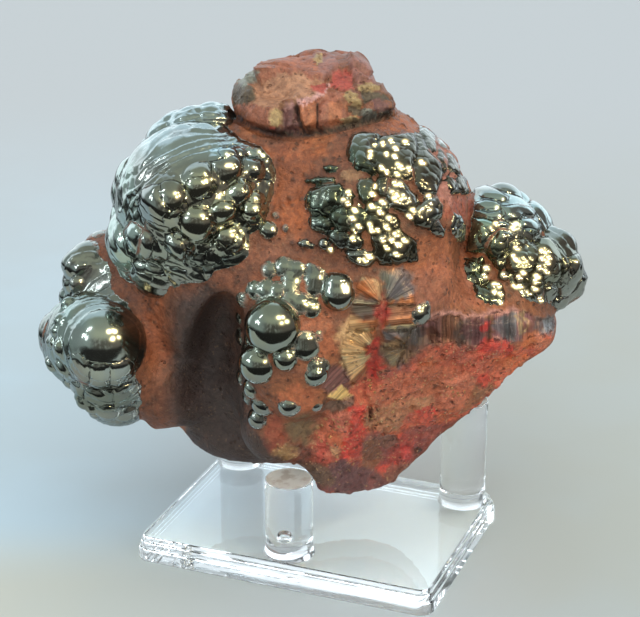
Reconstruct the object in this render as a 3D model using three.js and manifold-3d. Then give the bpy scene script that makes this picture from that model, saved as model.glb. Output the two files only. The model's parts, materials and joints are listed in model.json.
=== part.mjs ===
// Botryoidal hematite on a clear acrylic stand. Millimetres, +Z up.
// Origin: the middle of the stand's underside. The stand's long sides run along X,
// and its single front peg is towards -Y. The stone sits turned on the pegs.
import * as THREE from 'three';
import * as BufferGeometryUtils from 'three/addons/utils/BufferGeometryUtils.js';
import Module from 'manifold-3d';

// ---- driving dimensions: the stand ----
const BASE_W = 84.0; // base plate, left to right
const BASE_D = 61.4; // base plate, front to back
const BASE_H = 6.8; // base plate, thickness (quarter-inch sheet)
const BASE_R = 4.0; // plan corner radius
const STEP_IN = 0.65; // the polished edge steps in twice
const STEP_Z1 = 3.6;
const STEP_Z2 = 5.4;
const PEG_R = 6.35; // half-inch acrylic rod
const PEG_FLARE = 0.5; // fillet of cement round the foot
const FRONT_PEG = [0, -22.5];
const REAR_PEG_X = 33.8;
const REAR_PEG_Y = 22.5;
const FRONT_PEG_TOP = 28.2; // z of the sawn top, just under the stone
const REAR_LEFT_PEG_TOP = 37.4;
const REAR_RIGHT_PEG_TOP = 37.5;
const PEG_SEGMENTS = 24;

// ---- driving dimensions: the stone ----
const STONE_TURN = 21.4945; // degrees about Z between the stone's own axes and the stand's

// The stone is one mass that grew as rounded lobes. Each lobe is a blend of rounded masses,
// [x, y, z, half sizes x y z, tilt about X in degrees, width of the blend], with the larger
// botryoidal knobs on it as spheres that meet in sharp creases, [x, y, z, radius].
// Its surface is an icosahedron's fine subdivision, whose corners start round 'centre',
// spread by 'reach', and move out to the lobe's own surface.
const LOBES = [
  { // the main mass with the cap, the right arm and the keel
    centre: [0, 2, 74],
    reach: [52, 42, 58],
    detail: 13,
    masses: [
      [-5.4, 4, 76.4, 42, 36, 36, 0, 10], // massive core
      [13.1, -6, 97.5, 24, 27, 22, 0, 8], // upper right swelling
      [20.1, 4, 97.4, 16, 22, 15, 0, 7], // right shoulder
      [16.3, -18, 77, 18, 18, 18, 0, 8], // fan of fibres
      [31.4, -4, 61.7, 26, 26, 17, 0, 8], // right arm
      [22.3, -8, 49.1, 24, 26, 19, 24, 8], // lower right mass
      [11.7, -4, 31.2, 18, 24, 13.5, 0, 7], // keel
      [-18.3, 8, 30.9, 19, 16, 10, 0, 6], // underside, left
      [-20, 10, 48, 19, 17, 17, 0, 7], // back wall of the hollow
      [-0.6, 8, 111.3, 25, 24, 12, 0, 8], // neck under the cap
      [-15, 22, 58, 25, 21, 20, 0, 8], // rear underside
      [-40, 14, 72, 20, 22, 20, 0, 8], // rear left shoulder
      [36, 16, 66, 24, 20, 20, 0, 8], // rear right shoulder
      [4, 8, 40, 22, 18, 17, 0, 8], // rear keel
      [-2, 20, 116, 19, 17, 12, 0, 7], // mass behind the cap
      [-1.4, 7, 122.8, 21, 19, 9, 16, 2], // cap
    ],
    bulbs: [
      [4.3, -33, 83.9, 4.2], [10.4, -17, 112.8, 6.5], [15.1, -16.5, 113.6, 5.2], [18.5, -14.8, 113.5, 5.2],
      [21.7, -14.4, 111.8, 5.7], [17.3, -21.1, 110.8, 5.2], [20.5, -21.4, 109.8, 4.8], [13.6, -22.2, 111.8, 4],
      [17.5, -25.4, 106.6, 5.6], [20.1, -25.8, 106.2, 4.4], [23.5, -17.9, 109.1, 5.7], [23, -21.8, 105.6, 6.2],
      [24, -24.9, 102.2, 5.3], [26.6, -7.1, 110.2, 5.5], [29.7, -10.1, 108.1, 4.4], [28.3, -17.2, 105.7, 4.8],
      [32.3, -8.3, 104.8, 4.4], [11.3, -20.9, 111.9, 4.3], [21.9, -6.1, 111.8, 6.9], [0.5, -23.2, 104.6, 4.4],
      [4.7, -24.6, 105.2, 5.6], [1.6, -25.4, 100.7, 4.7], [5.9, -27, 101.6, 5.1], [4.1, -28.1, 98.1, 3.9],
      [7.8, -27.5, 105.5, 3.6], [8.5, -29.1, 101.7, 4], [9, -29.5, 97.8, 4.4], [11, -26.3, 108.3, 3.6],
      [14.6, -28.5, 105.2, 3.6], [16.5, -29.4, 102.6, 3.6], [15.3, -30.3, 97.4, 4.2], [18.3, -29.9, 97.1, 3.8],
      [20.4, -29.1, 95.1, 4.2], [11.1, -30.4, 93.8, 4.3], [16.4, -30.4, 93.5, 3.6],
    ],
  },
  { // the upper left knob
    centre: [-31, -3, 98],
    reach: [22, 22, 22],
    detail: 8,
    masses: [
      [-29.7, -4, 97.3, 19, 21, 20, 0, 6], // root of the knob
    ],
    bulbs: [
      [-31.5, -4.5, 97.8, 20.6], [-28.9, 4, 109.8, 11], [-34.8, 6, 106.6, 11.5], [-40, 2, 95.6, 13.5],
      [-45.2, -6, 88.8, 9.8], [-39.6, -10, 84.3, 9.5], [-21.3, -12, 90.9, 8.5], [-17.2, -10, 103.5, 10],
      [-37, -18.5, 102.4, 8.8], [-29.5, -19.4, 106.3, 5.5], [-24.2, -15, 109.1, 6.5], [-15.9, -15, 108.5, 5.7],
      [-15, -17.4, 104.9, 4.3], [-29.7, -21.3, 98.4, 6.7], [-23.5, -20.2, 101, 5.2], [-18.5, -19.1, 100, 5.2],
      [-20, -22.9, 93.2, 5.1], [-41.3, -18.2, 93.7, 6.6], [-36.1, -18.3, 90.6, 6.3], [-30.1, -12.1, 110.6, 7.4],
      [-36.2, -13.2, 109.1, 7.4], [-20.4, -9.2, 111.4, 5.2], [-29.3, 0, 115, 6.3], [-44.4, -14.9, 101.2, 5.2],
      [-48.1, -10.5, 92.3, 4.9], [-42.7, -13.3, 105.8, 5.6], [-33, -17, 108.8, 5.2], [-41.6, -15.9, 85, 5.3],
      [-32.9, -20.3, 94.2, 6.2], [-26.4, -21.8, 92.8, 4.8], [-35.1, -4, 114.6, 4.9], [-39.7, -6.6, 112.7, 4.9],
    ],
  },
  { // the lower left lobe
    centre: [-54, 2, 57],
    reach: [20, 20, 24],
    detail: 8,
    masses: [
      [-53.6, -2, 57.2, 12, 18, 16, 0, 6], // root of the lobe
      [-58.9, 12, 55.1, 13, 14, 19, 0, 6], // crust behind
      [-61.2, 10, 70.5, 7, 10, 12, 0, 5], // crust above
      [-40.6, 4, 46.8, 13, 18, 14, 0, 6], // inner slope
    ],
    bulbs: [
      [-55.9, -12.5, 62.4, 11.2], [-57.9, -8.5, 61.9, 11.9], [-59.5, -4, 60.6, 12.6], [-61.2, 2, 57.2, 12.9],
      [-54.8, -7.5, 52.6, 11], [-53.8, -4, 46.5, 10], [-52.4, -15.4, 53.2, 6.1], [-55.2, -13.1, 46.5, 4.6],
      [-59.5, 2.9, 76.3, 3.6], [-57.8, -9.2, 70.2, 5], [-51.2, -10.8, 44.3, 3.9],
    ],
  },
  { // the right lobe
    centre: [52, 8, 72],
    reach: [19, 20, 18],
    detail: 7,
    masses: [
      [50.1, 10, 75.9, 15, 19, 13, 0, 6], // root of the lobe
      [47.9, 4, 61.3, 15, 17, 9, 0, 6], // end of the arm
    ],
    bulbs: [
      [45.3, 7, 84.8, 10.5], [49, 14, 86.4, 9.5], [53.5, 15, 83.8, 10], [51.8, 7, 79.2, 10],
      [59.8, 9, 77.4, 10], [63.3, 11, 71.5, 7.5], [60.1, 8, 68.9, 7], [44.7, 1.6, 87, 7.7],
      [49.5, 6, 89, 6.9], [44.5, 4.9, 91.2, 5.5], [50.2, -1.8, 82, 5.8], [56.1, -0.4, 80.8, 5.8],
      [62.6, 2.4, 78.6, 4.6], [55.9, -4.2, 74.7, 4.9], [56.9, 9.7, 87.7, 3.7], [49.4, 12.7, 92.6, 4.4],
      [54.6, 2.7, 83.9, 4.4], [61.1, 4.2, 82.9, 3.7],
    ],
  },
  { // the front lobe
    centre: [-6, -23, 60],
    reach: [16, 18, 28],
    detail: 7,
    masses: [
      [-5.9, -22, 67.7, 14, 17, 21, 0, 7], // front lobe
      [-10.6, -14, 41.5, 11, 13, 11, 0, 6], // its foot
    ],
    bulbs: [
      [-11.6, -35.6, 77.1, 6.1], [-16.7, -32.1, 64.9, 4.7], [-7.9, -37.4, 69.8, 3.9], [0.6, -36.2, 64, 4.2],
      [-14.3, -25.6, 49.7, 3.8],
    ],
  },
];
// The deep groove between the left lobe and the front lobe:
// [x, y, z, half sizes x y z, lean about Y in degrees, width of the blend].
const HOLLOW = [-28.1, -27, 56.7, 8.5, 23, 25, 12, 5];
// Broken faces, as planes the stone stays behind: [normal x y z, distance, width of the blend].
const BREAKS = [
  [0.4279, -0.7728, -0.4687, 2.1, 3],
  [0.1010, 0.9897, 0.1010, 43.0, 3],
  [0.6313, 0.7128, -0.3055, 36.0, 3],
  [-0.5622, 0.8178, -0.1227, 41.0, 3],
  [0.0999, 0.6191, -0.7789, -8.0, 3],
  [-0.0499, 0.5993, 0.7990, 119.0, 3],
];

const RAD = Math.PI / 180;

function ellipsoid(x, y, z, rx, ry, rz) {
  const ax = x / rx, ay = y / ry, az = z / rz;
  const k0 = Math.hypot(ax, ay, az) + 1e-9;
  const k1 = Math.hypot(ax / rx, ay / ry, az / rz) + 1e-9;
  return (k0 * (k0 - 1)) / k1;
}

function smoothMin(a, b, k) {
  const h = Math.max(k - Math.abs(a - b), 0) / k;
  return Math.min(a, b) - h * h * k * 0.25;
}

// Signed distance to one lobe, negative inside.
function distance(lobe, x, y, z) {
  let f = Infinity;
  for (const [cx, cy, cz, rx, ry, rz, tilt, k] of lobe.masses) {
    const qx = x - cx, qy = y - cy, qz = z - cz;
    const c = Math.cos(tilt * RAD), s = Math.sin(tilt * RAD);
    const d = ellipsoid(qx, qy * c + qz * s, -qy * s + qz * c, rx, ry, rz);
    f = f === Infinity ? d : smoothMin(f, d, k);
  }
  {
    const [cx, cy, cz, rx, ry, rz, lean, k] = HOLLOW;
    const qx = x - cx, qy = y - cy, qz = z - cz;
    const c = Math.cos(lean * RAD), s = Math.sin(lean * RAD);
    const d = ellipsoid(qx * c - qz * s, qy, qx * s + qz * c, rx, ry, rz);
    f = -smoothMin(-f, d, k);
  }
  for (const [cx, cy, cz, r] of lobe.bulbs) {
    const d = Math.hypot(x - cx, y - cy, z - cz) - r;
    if (d < f) f = d;
  }
  for (const [nx, ny, nz, d, k] of BREAKS) {
    f = -smoothMin(-f, -(x * nx + y * ny + z * nz - d), k);
  }
  return f;
}

// Distance from a lobe's centre out to its surface in one direction.
function surface(lobe, dx, dy, dz) {
  const [cx, cy, cz] = lobe.centre;
  const at = (t) => distance(lobe, cx + dx * t, cy + dy * t, cz + dz * t);
  let out = 2 * Math.max(...lobe.reach);
  let t = out;
  let f = at(t);
  for (let i = 0; i < 600 && f > 0; i++) {
    out = t;
    t -= Math.min(Math.max(f * 0.7, 0.05), 12);
    f = at(t);
  }
  let lo = t;
  let hi = out;
  for (let i = 0; i < 20; i++) {
    const m = (lo + hi) / 2;
    if (at(m) < 0) lo = m; else hi = m;
  }
  return (lo + hi) / 2;
}

function lobeGeometry(lobe) {
  const g = new THREE.IcosahedronGeometry(1, lobe.detail);
  const p = g.attributes.position;
  const v = new THREE.Vector3();
  for (let i = 0; i < p.count; i++) {
    v.fromBufferAttribute(p, i).normalize();
    v.set(v.x * lobe.reach[0], v.y * lobe.reach[1], v.z * lobe.reach[2]).normalize();
    const r = surface(lobe, v.x, v.y, v.z);
    p.setXYZ(i, lobe.centre[0] + v.x * r, lobe.centre[1] + v.y * r, lobe.centre[2] + v.z * r);
  }
  return g;
}

// ---- joining and cutting ----
const wasm = await Module();
wasm.setup();

// ---- the base plate: three rounded rectangles, each stepped in from the one below ----
function roundedRect(w, d, r) {
  const s = new THREE.Shape();
  const x = w / 2, y = d / 2;
  s.moveTo(-x + r, -y);
  s.lineTo(x - r, -y);
  s.absarc(x - r, -y + r, r, -Math.PI / 2, 0, false);
  s.lineTo(x, y - r);
  s.absarc(x - r, y - r, r, 0, Math.PI / 2, false);
  s.lineTo(-x + r, y);
  s.absarc(-x + r, y - r, r, Math.PI / 2, Math.PI, false);
  s.lineTo(-x, -y + r);
  s.absarc(-x + r, -y + r, r, Math.PI, Math.PI * 1.5, false);
  return s;
}

function solid(geometry) {
  geometry.deleteAttribute('normal');
  geometry.deleteAttribute('uv');
  const g = BufferGeometryUtils.mergeVertices(geometry, 1e-4);
  return new wasm.Manifold(new wasm.Mesh({
    numProp: 3,
    vertProperties: new Float32Array(g.attributes.position.array),
    triVerts: new Uint32Array(g.index.array),
  }));
}

function geometryOf(manifold) {
  const m = manifold.getMesh();
  const g = new THREE.BufferGeometry();
  g.setAttribute('position', new THREE.BufferAttribute(new Float32Array(m.vertProperties), 3));
  g.setIndex(new THREE.BufferAttribute(new Uint32Array(m.triVerts), 1));
  g.computeVertexNormals();
  return g;
}

function slab(inset, top) {
  return solid(new THREE.ExtrudeGeometry(
    roundedRect(BASE_W - 2 * inset, BASE_D - 2 * inset, BASE_R - inset),
    { depth: top, bevelEnabled: false, curveSegments: 5 },
  ));
}

const stoneGeometry = geometryOf(LOBES.map((lobe) => solid(lobeGeometry(lobe))).reduce((a, b) => a.add(b)));

const baseGeometry = geometryOf(
  slab(0, STEP_Z1).add(slab(STEP_IN, STEP_Z2)).add(slab(2 * STEP_IN, BASE_H)),
);

// ---- a peg: turned rod with a small flare at the foot and a broken top edge ----
function pegGeometry(height) {
  const profile = [
    [0, 0],
    [PEG_R + PEG_FLARE, 0],
    [PEG_R + 0.25, 0.9],
    [PEG_R, 2.4],
    [PEG_R, height - 0.3],
    [PEG_R - 0.3, height],
    [0, height],
  ].map(([r, z]) => new THREE.Vector2(r, z));
  const g = new THREE.LatheGeometry(profile, PEG_SEGMENTS);
  g.rotateX(Math.PI / 2);
  g.deleteAttribute('normal');
  g.deleteAttribute('uv');
  const merged = BufferGeometryUtils.mergeVertices(g, 1e-4);
  const tri = [];
  const index = merged.index.array;
  for (let i = 0; i < index.length; i += 3) {
    const [a, b, c] = [index[i], index[i + 1], index[i + 2]];
    if (a !== b && b !== c && c !== a) tri.push(a, b, c);
  }
  merged.setIndex(tri);
  merged.computeVertexNormals();
  return merged;
}

const acrylic = { color: 0xe6ecee, roughness: 0.08, metalness: 0, transparent: true, opacity: 0.35 };

function mesh(name, geometry, material) {
  const m = new THREE.Mesh(geometry, new THREE.MeshStandardMaterial(material));
  m.name = name;
  return m;
}

const group = new THREE.Group();
const stand = new THREE.Group();
group.add(stand);

stand.add(mesh('stand_base', baseGeometry, acrylic));

function peg(name, x, y, top) {
  const m = mesh(name, pegGeometry(top - BASE_H), acrylic);
  m.position.set(x, y, BASE_H);
  stand.add(m);
}
peg('front_peg', FRONT_PEG[0], FRONT_PEG[1], FRONT_PEG_TOP);
peg('rear_left_peg', -REAR_PEG_X, REAR_PEG_Y, REAR_LEFT_PEG_TOP);
peg('rear_right_peg', REAR_PEG_X, REAR_PEG_Y, REAR_RIGHT_PEG_TOP);

const stoneMesh = mesh('hematite_specimen', stoneGeometry, { color: 0x8a4a34, roughness: 0.55, metalness: 0.35 });
stoneMesh.rotation.z = STONE_TURN * RAD;
group.add(stoneMesh);

export default group;
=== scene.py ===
# Botryoidal hematite on a clear acrylic stand.
# The stone is one closed mesh, taken from a signed distance field: a blend of rounded masses, spherical
# knobs that meet in sharp creases, and broken faces. Then come growth terraces, fibres and broken grain.
# Lengths in the tables are millimetres in the stone's own axes, which are turned TURN degrees from the stand's.
import json
import math

import bpy
import numpy as np
from mathutils import Matrix, Vector, Vector
from mathutils.bvhtree import BVHTree

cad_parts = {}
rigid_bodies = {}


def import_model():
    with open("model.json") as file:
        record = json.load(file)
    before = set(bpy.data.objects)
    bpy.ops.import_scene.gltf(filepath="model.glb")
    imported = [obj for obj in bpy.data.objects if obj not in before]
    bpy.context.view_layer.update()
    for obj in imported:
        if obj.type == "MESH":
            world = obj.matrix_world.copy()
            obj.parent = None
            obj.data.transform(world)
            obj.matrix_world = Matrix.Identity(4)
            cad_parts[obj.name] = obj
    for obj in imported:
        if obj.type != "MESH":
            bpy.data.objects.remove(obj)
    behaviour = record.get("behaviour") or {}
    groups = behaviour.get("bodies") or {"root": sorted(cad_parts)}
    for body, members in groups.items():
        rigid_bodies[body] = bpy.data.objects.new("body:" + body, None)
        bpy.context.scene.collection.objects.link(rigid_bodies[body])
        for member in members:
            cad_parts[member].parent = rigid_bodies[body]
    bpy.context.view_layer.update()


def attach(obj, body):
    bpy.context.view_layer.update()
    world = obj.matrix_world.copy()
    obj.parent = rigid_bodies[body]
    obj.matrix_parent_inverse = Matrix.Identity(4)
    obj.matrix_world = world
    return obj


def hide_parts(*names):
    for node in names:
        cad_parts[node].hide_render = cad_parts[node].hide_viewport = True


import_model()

TURN = math.radians(21.4945)
CT, ST = math.cos(TURN), math.sin(TURN)
F32 = np.float32

# ------------------------------------------------------------------ the camera, in the stone's axes
FOCAL = 1806.606  # in pixels of a picture 640 wide
MIDDLE = (320.0, 308.5)
EYE = np.array([-0.101, -443.21, 241.84])
FWD = np.array([0.0, 0.93068, -0.36584])
UP = np.array([0.0, 0.36584, 0.93068])

# ------------------------------------------------------------------ the stone's tables
MASSES = [  # x y z, half sizes, turn about X and Y in degrees, width of the blend
    (-5.38, 4.00, 76.40, 42, 36, 36, 0, 10),
    (-29.74, -4.00, 97.33, 19, 21, 20, 0, 6),
    (-53.57, -2.00, 57.17, 12, 18, 16, 0, 6),
    (-58.92, 12.00, 55.15, 13, 14, 19, 0, 6),
    (13.13, -6.00, 97.46, 24, 27, 22, 0, 8),
    (20.15, 4.00, 97.43, 16, 22, 15, 0, 7),
    (50.11, 10.00, 75.88, 15, 19, 13, 0, 6),
    (-5.90, -22.00, 67.73, 14, 17, 21, 0, 7),
    (-10.57, -14.00, 41.49, 11, 13, 11, 0, 6),
    (16.31, -18.00, 77.00, 18, 18, 18, 0, 8),
    (31.43, -4.00, 61.71, 26, 26, 17, 0, 8),
    (47.95, 4.00, 61.31, 15, 17, 9, 0, 6),
    (22.27, -8.00, 49.13, 24, 26, 19, 24, 8),
    (11.73, -4.00, 31.19, 18, 24, 13.5, 0, 7),
    (-18.26, 8.00, 30.92, 19, 16, 10, 0, 6),
    (-20.00, 10.00, 48.00, 19, 17, 17, 0, 7),
    (-61.25, 10.00, 70.46, 7, 10, 12, 0, 5),
    (-40.58, 4.00, 46.76, 13, 18, 14, 0, 6),
    (-0.62, 8.00, 111.34, 25, 24, 12, 0, 8),
    (-15.00, 22.00, 58.00, 25, 21, 20, 0, 8),
    (-40.00, 14.00, 72.00, 20, 22, 20, 0, 8),
    (36.00, 16.00, 66.00, 24, 20, 20, 0, 8),
    (4.00, 8.00, 40.00, 22, 18, 17, 0, 8),
    (-2.00, 20.00, 116.00, 19, 17, 12, 0, 7),
    (-1.38, 7.00, 122.78, 21, 19, 9, 16, 2),
]
HOLLOW = (-28.06, -27.00, 56.71, 8.5, 23, 25, 12, 5)
BREAKS = [  # planes the stone stays behind: normal, distance
    (0.42787, -0.77283, -0.46868, 2.105),
    (0.10099, 0.98975, 0.10099, 43.000),
    (0.63134, 0.71280, -0.30549, 36.000),
    (-0.56225, 0.81782, -0.12267, 41.000),
    (0.09986, 0.61913, -0.77891, -8.000),
    (-0.04994, 0.59925, 0.79900, 119.000),
]
KNOBS = [  # x y z radius
    (-31.49, -4.50, 97.77, 20.60), (-55.88, -12.50, 62.41, 11.20), (-57.91, -8.50, 61.87, 11.90), (-59.53, -4.00, 60.57, 12.60),
    (-61.18, 2.00, 57.23, 12.90), (-54.76, -7.50, 52.64, 11.00), (-53.80, -4.00, 46.48, 10.00), (45.26, 7.00, 84.84, 10.50),
    (49.03, 14.00, 86.36, 9.50), (53.51, 15.00, 83.76, 10.00), (51.81, 7.00, 79.24, 10.00), (59.81, 9.00, 77.38, 10.00),
    (63.26, 11.00, 71.52, 7.50), (60.08, 8.00, 68.93, 7.00), (-28.90, 4.00, 109.83, 11.00), (-34.78, 6.00, 106.56, 11.50),
    (-39.98, 2.00, 95.63, 13.50), (-45.19, -6.00, 88.84, 9.80), (-39.64, -10.00, 84.29, 9.50), (-21.33, -12.00, 90.94, 8.50),
    (-17.18, -10.00, 103.53, 10.00), (-37.04, -18.52, 102.37, 8.78), (-29.51, -19.40, 106.32, 5.49), (-24.24, -14.95, 109.11, 6.48),
    (-15.88, -15.02, 108.45, 5.69), (-14.97, -17.43, 104.89, 4.26), (-29.73, -21.28, 98.43, 6.73), (-23.54, -20.22, 101.03, 5.20),
    (-18.47, -19.06, 100.02, 5.22), (-19.99, -22.94, 93.17, 5.10), (-41.34, -18.16, 93.72, 6.58), (-36.06, -18.34, 90.61, 6.25),
    (-30.15, -12.11, 110.64, 7.45), (-36.22, -13.16, 109.09, 7.44), (-20.39, -9.16, 111.41, 5.22), (-29.30, 0.00, 115.02, 6.35),
    (-44.41, -14.95, 101.20, 5.20), (-48.08, -10.53, 92.32, 4.93), (-42.74, -13.29, 105.83, 5.61), (-33.00, -17.01, 108.76, 5.18),
    (-41.63, -15.93, 85.04, 5.32), (-32.90, -20.30, 94.19, 6.20), (-26.38, -21.79, 92.78, 4.81), (-35.08, -4.04, 114.55, 4.93),
    (-39.75, -6.57, 112.69, 4.91), (-25.67, 0.92, 117.56, 3.48), (-52.43, -15.43, 53.22, 6.11), (-61.05, -13.49, 47.40, 2.50),
    (-55.20, -13.06, 46.52, 4.56), (-64.56, 5.47, 78.43, 2.21), (-63.65, 2.10, 73.72, 2.58), (-65.20, -5.24, 70.74, 2.27),
    (-66.35, -11.22, 68.40, 2.25), (-68.85, -11.19, 62.72, 2.17), (-69.81, -5.77, 54.69, 2.58), (-65.61, -6.77, 50.34, 2.30),
    (-62.15, -13.24, 48.52, 1.99), (-59.52, 2.93, 76.33, 3.61), (-57.81, -9.25, 70.21, 5.05), (-59.90, 6.55, 80.29, 3.29),
    (-58.61, -10.46, 43.33, 2.73), (-51.17, -10.84, 44.27, 3.93), (-11.65, -35.60, 77.05, 6.09), (-16.69, -32.12, 64.95, 4.70),
    (4.32, -32.98, 83.88, 4.15), (-7.87, -37.35, 69.78, 3.89), (-3.56, -38.21, 71.35, 2.69), (-0.44, -36.51, 74.82, 1.24),
    (0.65, -36.22, 63.98, 4.19), (-14.33, -25.60, 49.70, 3.81), (-7.50, -35.22, 55.15, 2.24), (-0.55, -32.78, 54.45, 2.04),
    (-18.50, -19.76, 51.95, 1.83), (-18.63, -17.16, 65.20, 3.13), (-8.73, -28.93, 89.66, 2.18), (-6.07, -28.99, 89.96, 2.45),
    (-4.95, -30.60, 87.70, 2.18), (-7.53, -31.45, 85.88, 2.45), (-12.34, -28.90, 88.68, 2.13), (-1.75, -29.85, 89.40, 2.60),
    (-1.86, -31.35, 86.24, 2.60), (-13.76, -30.58, 83.61, 2.54), (-10.99, -31.02, 85.25, 2.25), (-11.17, -32.15, 83.13, 2.25),
    (-15.41, -29.92, 84.47, 1.69), (-19.08, -28.68, 81.66, 1.61), (-20.69, -11.44, 70.24, 1.40), (-7.05, -33.32, 83.02, 2.65),
    (-3.38, -34.30, 81.68, 2.29), (-1.67, -34.32, 81.21, 1.78), (0.12, -32.31, 84.86, 1.78), (23.97, -33.35, 79.21, 2.30),
    (-9.88, -36.87, 65.99, 2.54), (-5.06, -37.84, 67.38, 2.25), (-21.24, -9.24, 59.69, 1.99), (-20.58, -14.26, 53.88, 1.98),
    (-16.81, -22.72, 44.49, 2.52), (10.42, -16.96, 112.82, 6.48), (15.10, -16.45, 113.62, 5.22), (18.54, -14.83, 113.55, 5.24),
    (21.65, -14.37, 111.82, 5.73), (17.30, -21.06, 110.79, 5.18), (20.48, -21.36, 109.80, 4.75), (13.63, -22.19, 111.78, 4.03),
    (17.55, -25.35, 106.60, 5.61), (20.06, -25.79, 106.18, 4.40), (23.48, -17.91, 109.10, 5.70), (23.04, -21.78, 105.62, 6.16),
    (24.00, -24.89, 102.21, 5.25), (27.71, -25.06, 98.88, 2.93), (26.62, -7.05, 110.18, 5.48), (29.74, -10.09, 108.15, 4.38),
    (28.31, -17.24, 105.74, 4.79), (32.28, -8.35, 104.79, 4.42), (32.54, -18.42, 97.15, 2.98), (11.33, -20.86, 111.89, 4.26),
    (21.92, -6.05, 111.84, 6.93), (27.34, -22.68, 103.36, 3.31), (0.53, -23.19, 104.61, 4.44), (4.73, -24.62, 105.16, 5.63),
    (1.56, -25.41, 100.66, 4.75), (5.95, -27.05, 101.64, 5.15), (4.12, -28.08, 98.12, 3.89), (7.77, -27.48, 105.53, 3.61),
    (8.49, -29.10, 101.65, 4.00), (8.99, -29.52, 97.76, 4.40), (10.98, -26.28, 108.26, 3.61), (14.87, -26.38, 108.62, 3.22),
    (12.23, -28.75, 105.32, 3.21), (14.60, -28.49, 105.18, 3.60), (13.10, -29.84, 102.10, 3.60), (16.51, -29.37, 102.61, 3.60),
    (12.04, -30.75, 98.61, 3.21), (15.26, -30.27, 97.38, 4.15), (18.30, -29.94, 97.13, 3.79), (20.43, -29.07, 95.05, 4.17),
    (11.06, -30.38, 93.83, 4.33), (16.45, -30.41, 93.50, 3.62), (6.45, -30.03, 95.04, 2.80), (2.03, -20.23, 112.16, 1.83),
    (-0.13, -20.51, 108.96, 2.44), (2.44, -21.84, 109.10, 2.83), (5.88, -23.43, 111.19, 2.12), (1.10, -28.78, 96.28, 2.12),
    (-3.68, -26.66, 95.34, 2.39), (3.22, -30.42, 95.24, 1.12), (-12.43, -23.70, 97.40, 2.57), (-8.23, -24.79, 98.41, 1.33),
    (-1.13, -27.16, 92.71, 3.24), (-10.66, -21.93, 100.66, 1.42), (44.70, 1.61, 87.03, 7.74), (49.53, 6.01, 89.01, 6.88),
    (44.52, 4.94, 91.16, 5.46), (50.21, -1.78, 81.97, 5.81), (56.10, -0.41, 80.82, 5.83), (62.59, 2.41, 78.57, 4.57),
    (55.95, -4.20, 74.74, 4.85), (38.91, -4.76, 79.92, 3.10), (40.89, -11.46, 76.35, 2.58), (44.40, -6.67, 79.26, 2.38),
    (45.90, -9.58, 76.21, 2.66), (50.73, -7.28, 78.14, 3.07), (56.91, 9.68, 87.66, 3.69), (35.54, -7.43, 100.33, 3.16),
    (49.39, 12.70, 92.62, 4.44), (63.82, 3.53, 73.07, 3.30), (52.74, -8.53, 73.98, 2.67), (47.70, -5.67, 80.41, 2.89),
    (54.64, 2.72, 83.95, 4.38), (61.14, 4.16, 82.87, 3.66),
]


def to_row(p):
    out = np.array(p, float)
    x, y = out[..., 0].copy(), out[..., 1].copy()
    out[..., 0] = x * CT - y * ST
    out[..., 1] = x * ST + y * CT
    return out


def picture(p):
    """Where a point shows in the picture 640 wide, and how far off it is. It places zones of colour and texture on the side that was seen."""
    q = p - EYE
    d = q @ FWD
    return MIDDLE[0] + FOCAL * q[:, 0] / d, MIDDLE[1] - FOCAL * (q @ UP) / d, d


def at(px, py, y):
    """The point that shows at a place in the picture and lies at depth y."""
    d = FWD + np.array([1.0, 0, 0]) * ((px - MIDDLE[0]) / FOCAL) - UP * ((py - MIDDLE[1]) / FOCAL)
    return EYE + d * ((y - EYE[1]) / d[1])


# ------------------------------------------------------------------ noise
def _rand(ix, iy, iz, seed):
    with np.errstate(over="ignore"):
        h = (
            ix.astype(np.uint32) * np.uint32(374761393)
            + iy.astype(np.uint32) * np.uint32(668265263)
            + iz.astype(np.uint32) * np.uint32(2246822519)
            + np.uint32((seed * 3266489917) & 0xFFFFFFFF)
        )
        h ^= h >> np.uint32(15)
        h *= np.uint32(2246822519)
        h ^= h >> np.uint32(13)
        h *= np.uint32(3266489917)
        h ^= h >> np.uint32(16)
    return (h >> np.uint32(8)).astype(F32) * F32(1.0 / 16777216.0)


def noise(p, size, seed=0):
    """Smooth noise from -1 to 1 with features of about the given size."""
    q = (p / size + 1000.0).astype(np.float64)
    i = np.floor(q)
    f = (q - i).astype(F32)
    i = i.astype(np.int64)
    f = f * f * (3 - 2 * f)
    out = np.zeros(len(p), F32)
    for dx in (0, 1):
        for dy in (0, 1):
            for dz in (0, 1):
                w = (
                    (f[:, 0] if dx else 1 - f[:, 0])
                    * (f[:, 1] if dy else 1 - f[:, 1])
                    * (f[:, 2] if dz else 1 - f[:, 2])
                )
                out += w * _rand(i[:, 0] + dx, i[:, 1] + dy, i[:, 2] + dz, seed)
    return out * 2 - 1


def fbm(p, size, seed=0, octaves=3, fall=0.5):
    out, a, t = np.zeros(len(p), F32), 1.0, 0.0
    for k in range(octaves):
        out += a * noise(p, size, seed + 17 * k)
        t += a
        a *= fall
        size *= 0.5
    return out / t


def line_noise(x, seed=0):
    """One-dimensional noise from 0 to 1, with a new value each unit."""
    i = np.floor(x)
    f = (x - i).astype(F32)
    f = f * f * (3 - 2 * f)
    i = i.astype(np.int64)
    z = np.zeros_like(i)
    return _rand(i, z, z, seed) * (1 - f) + _rand(i + 1, z, z, seed) * f


def step_noise(x, seed=0):
    i = np.floor(x).astype(np.int64)
    z = np.zeros_like(i)
    return _rand(i, z, z, seed)


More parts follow.
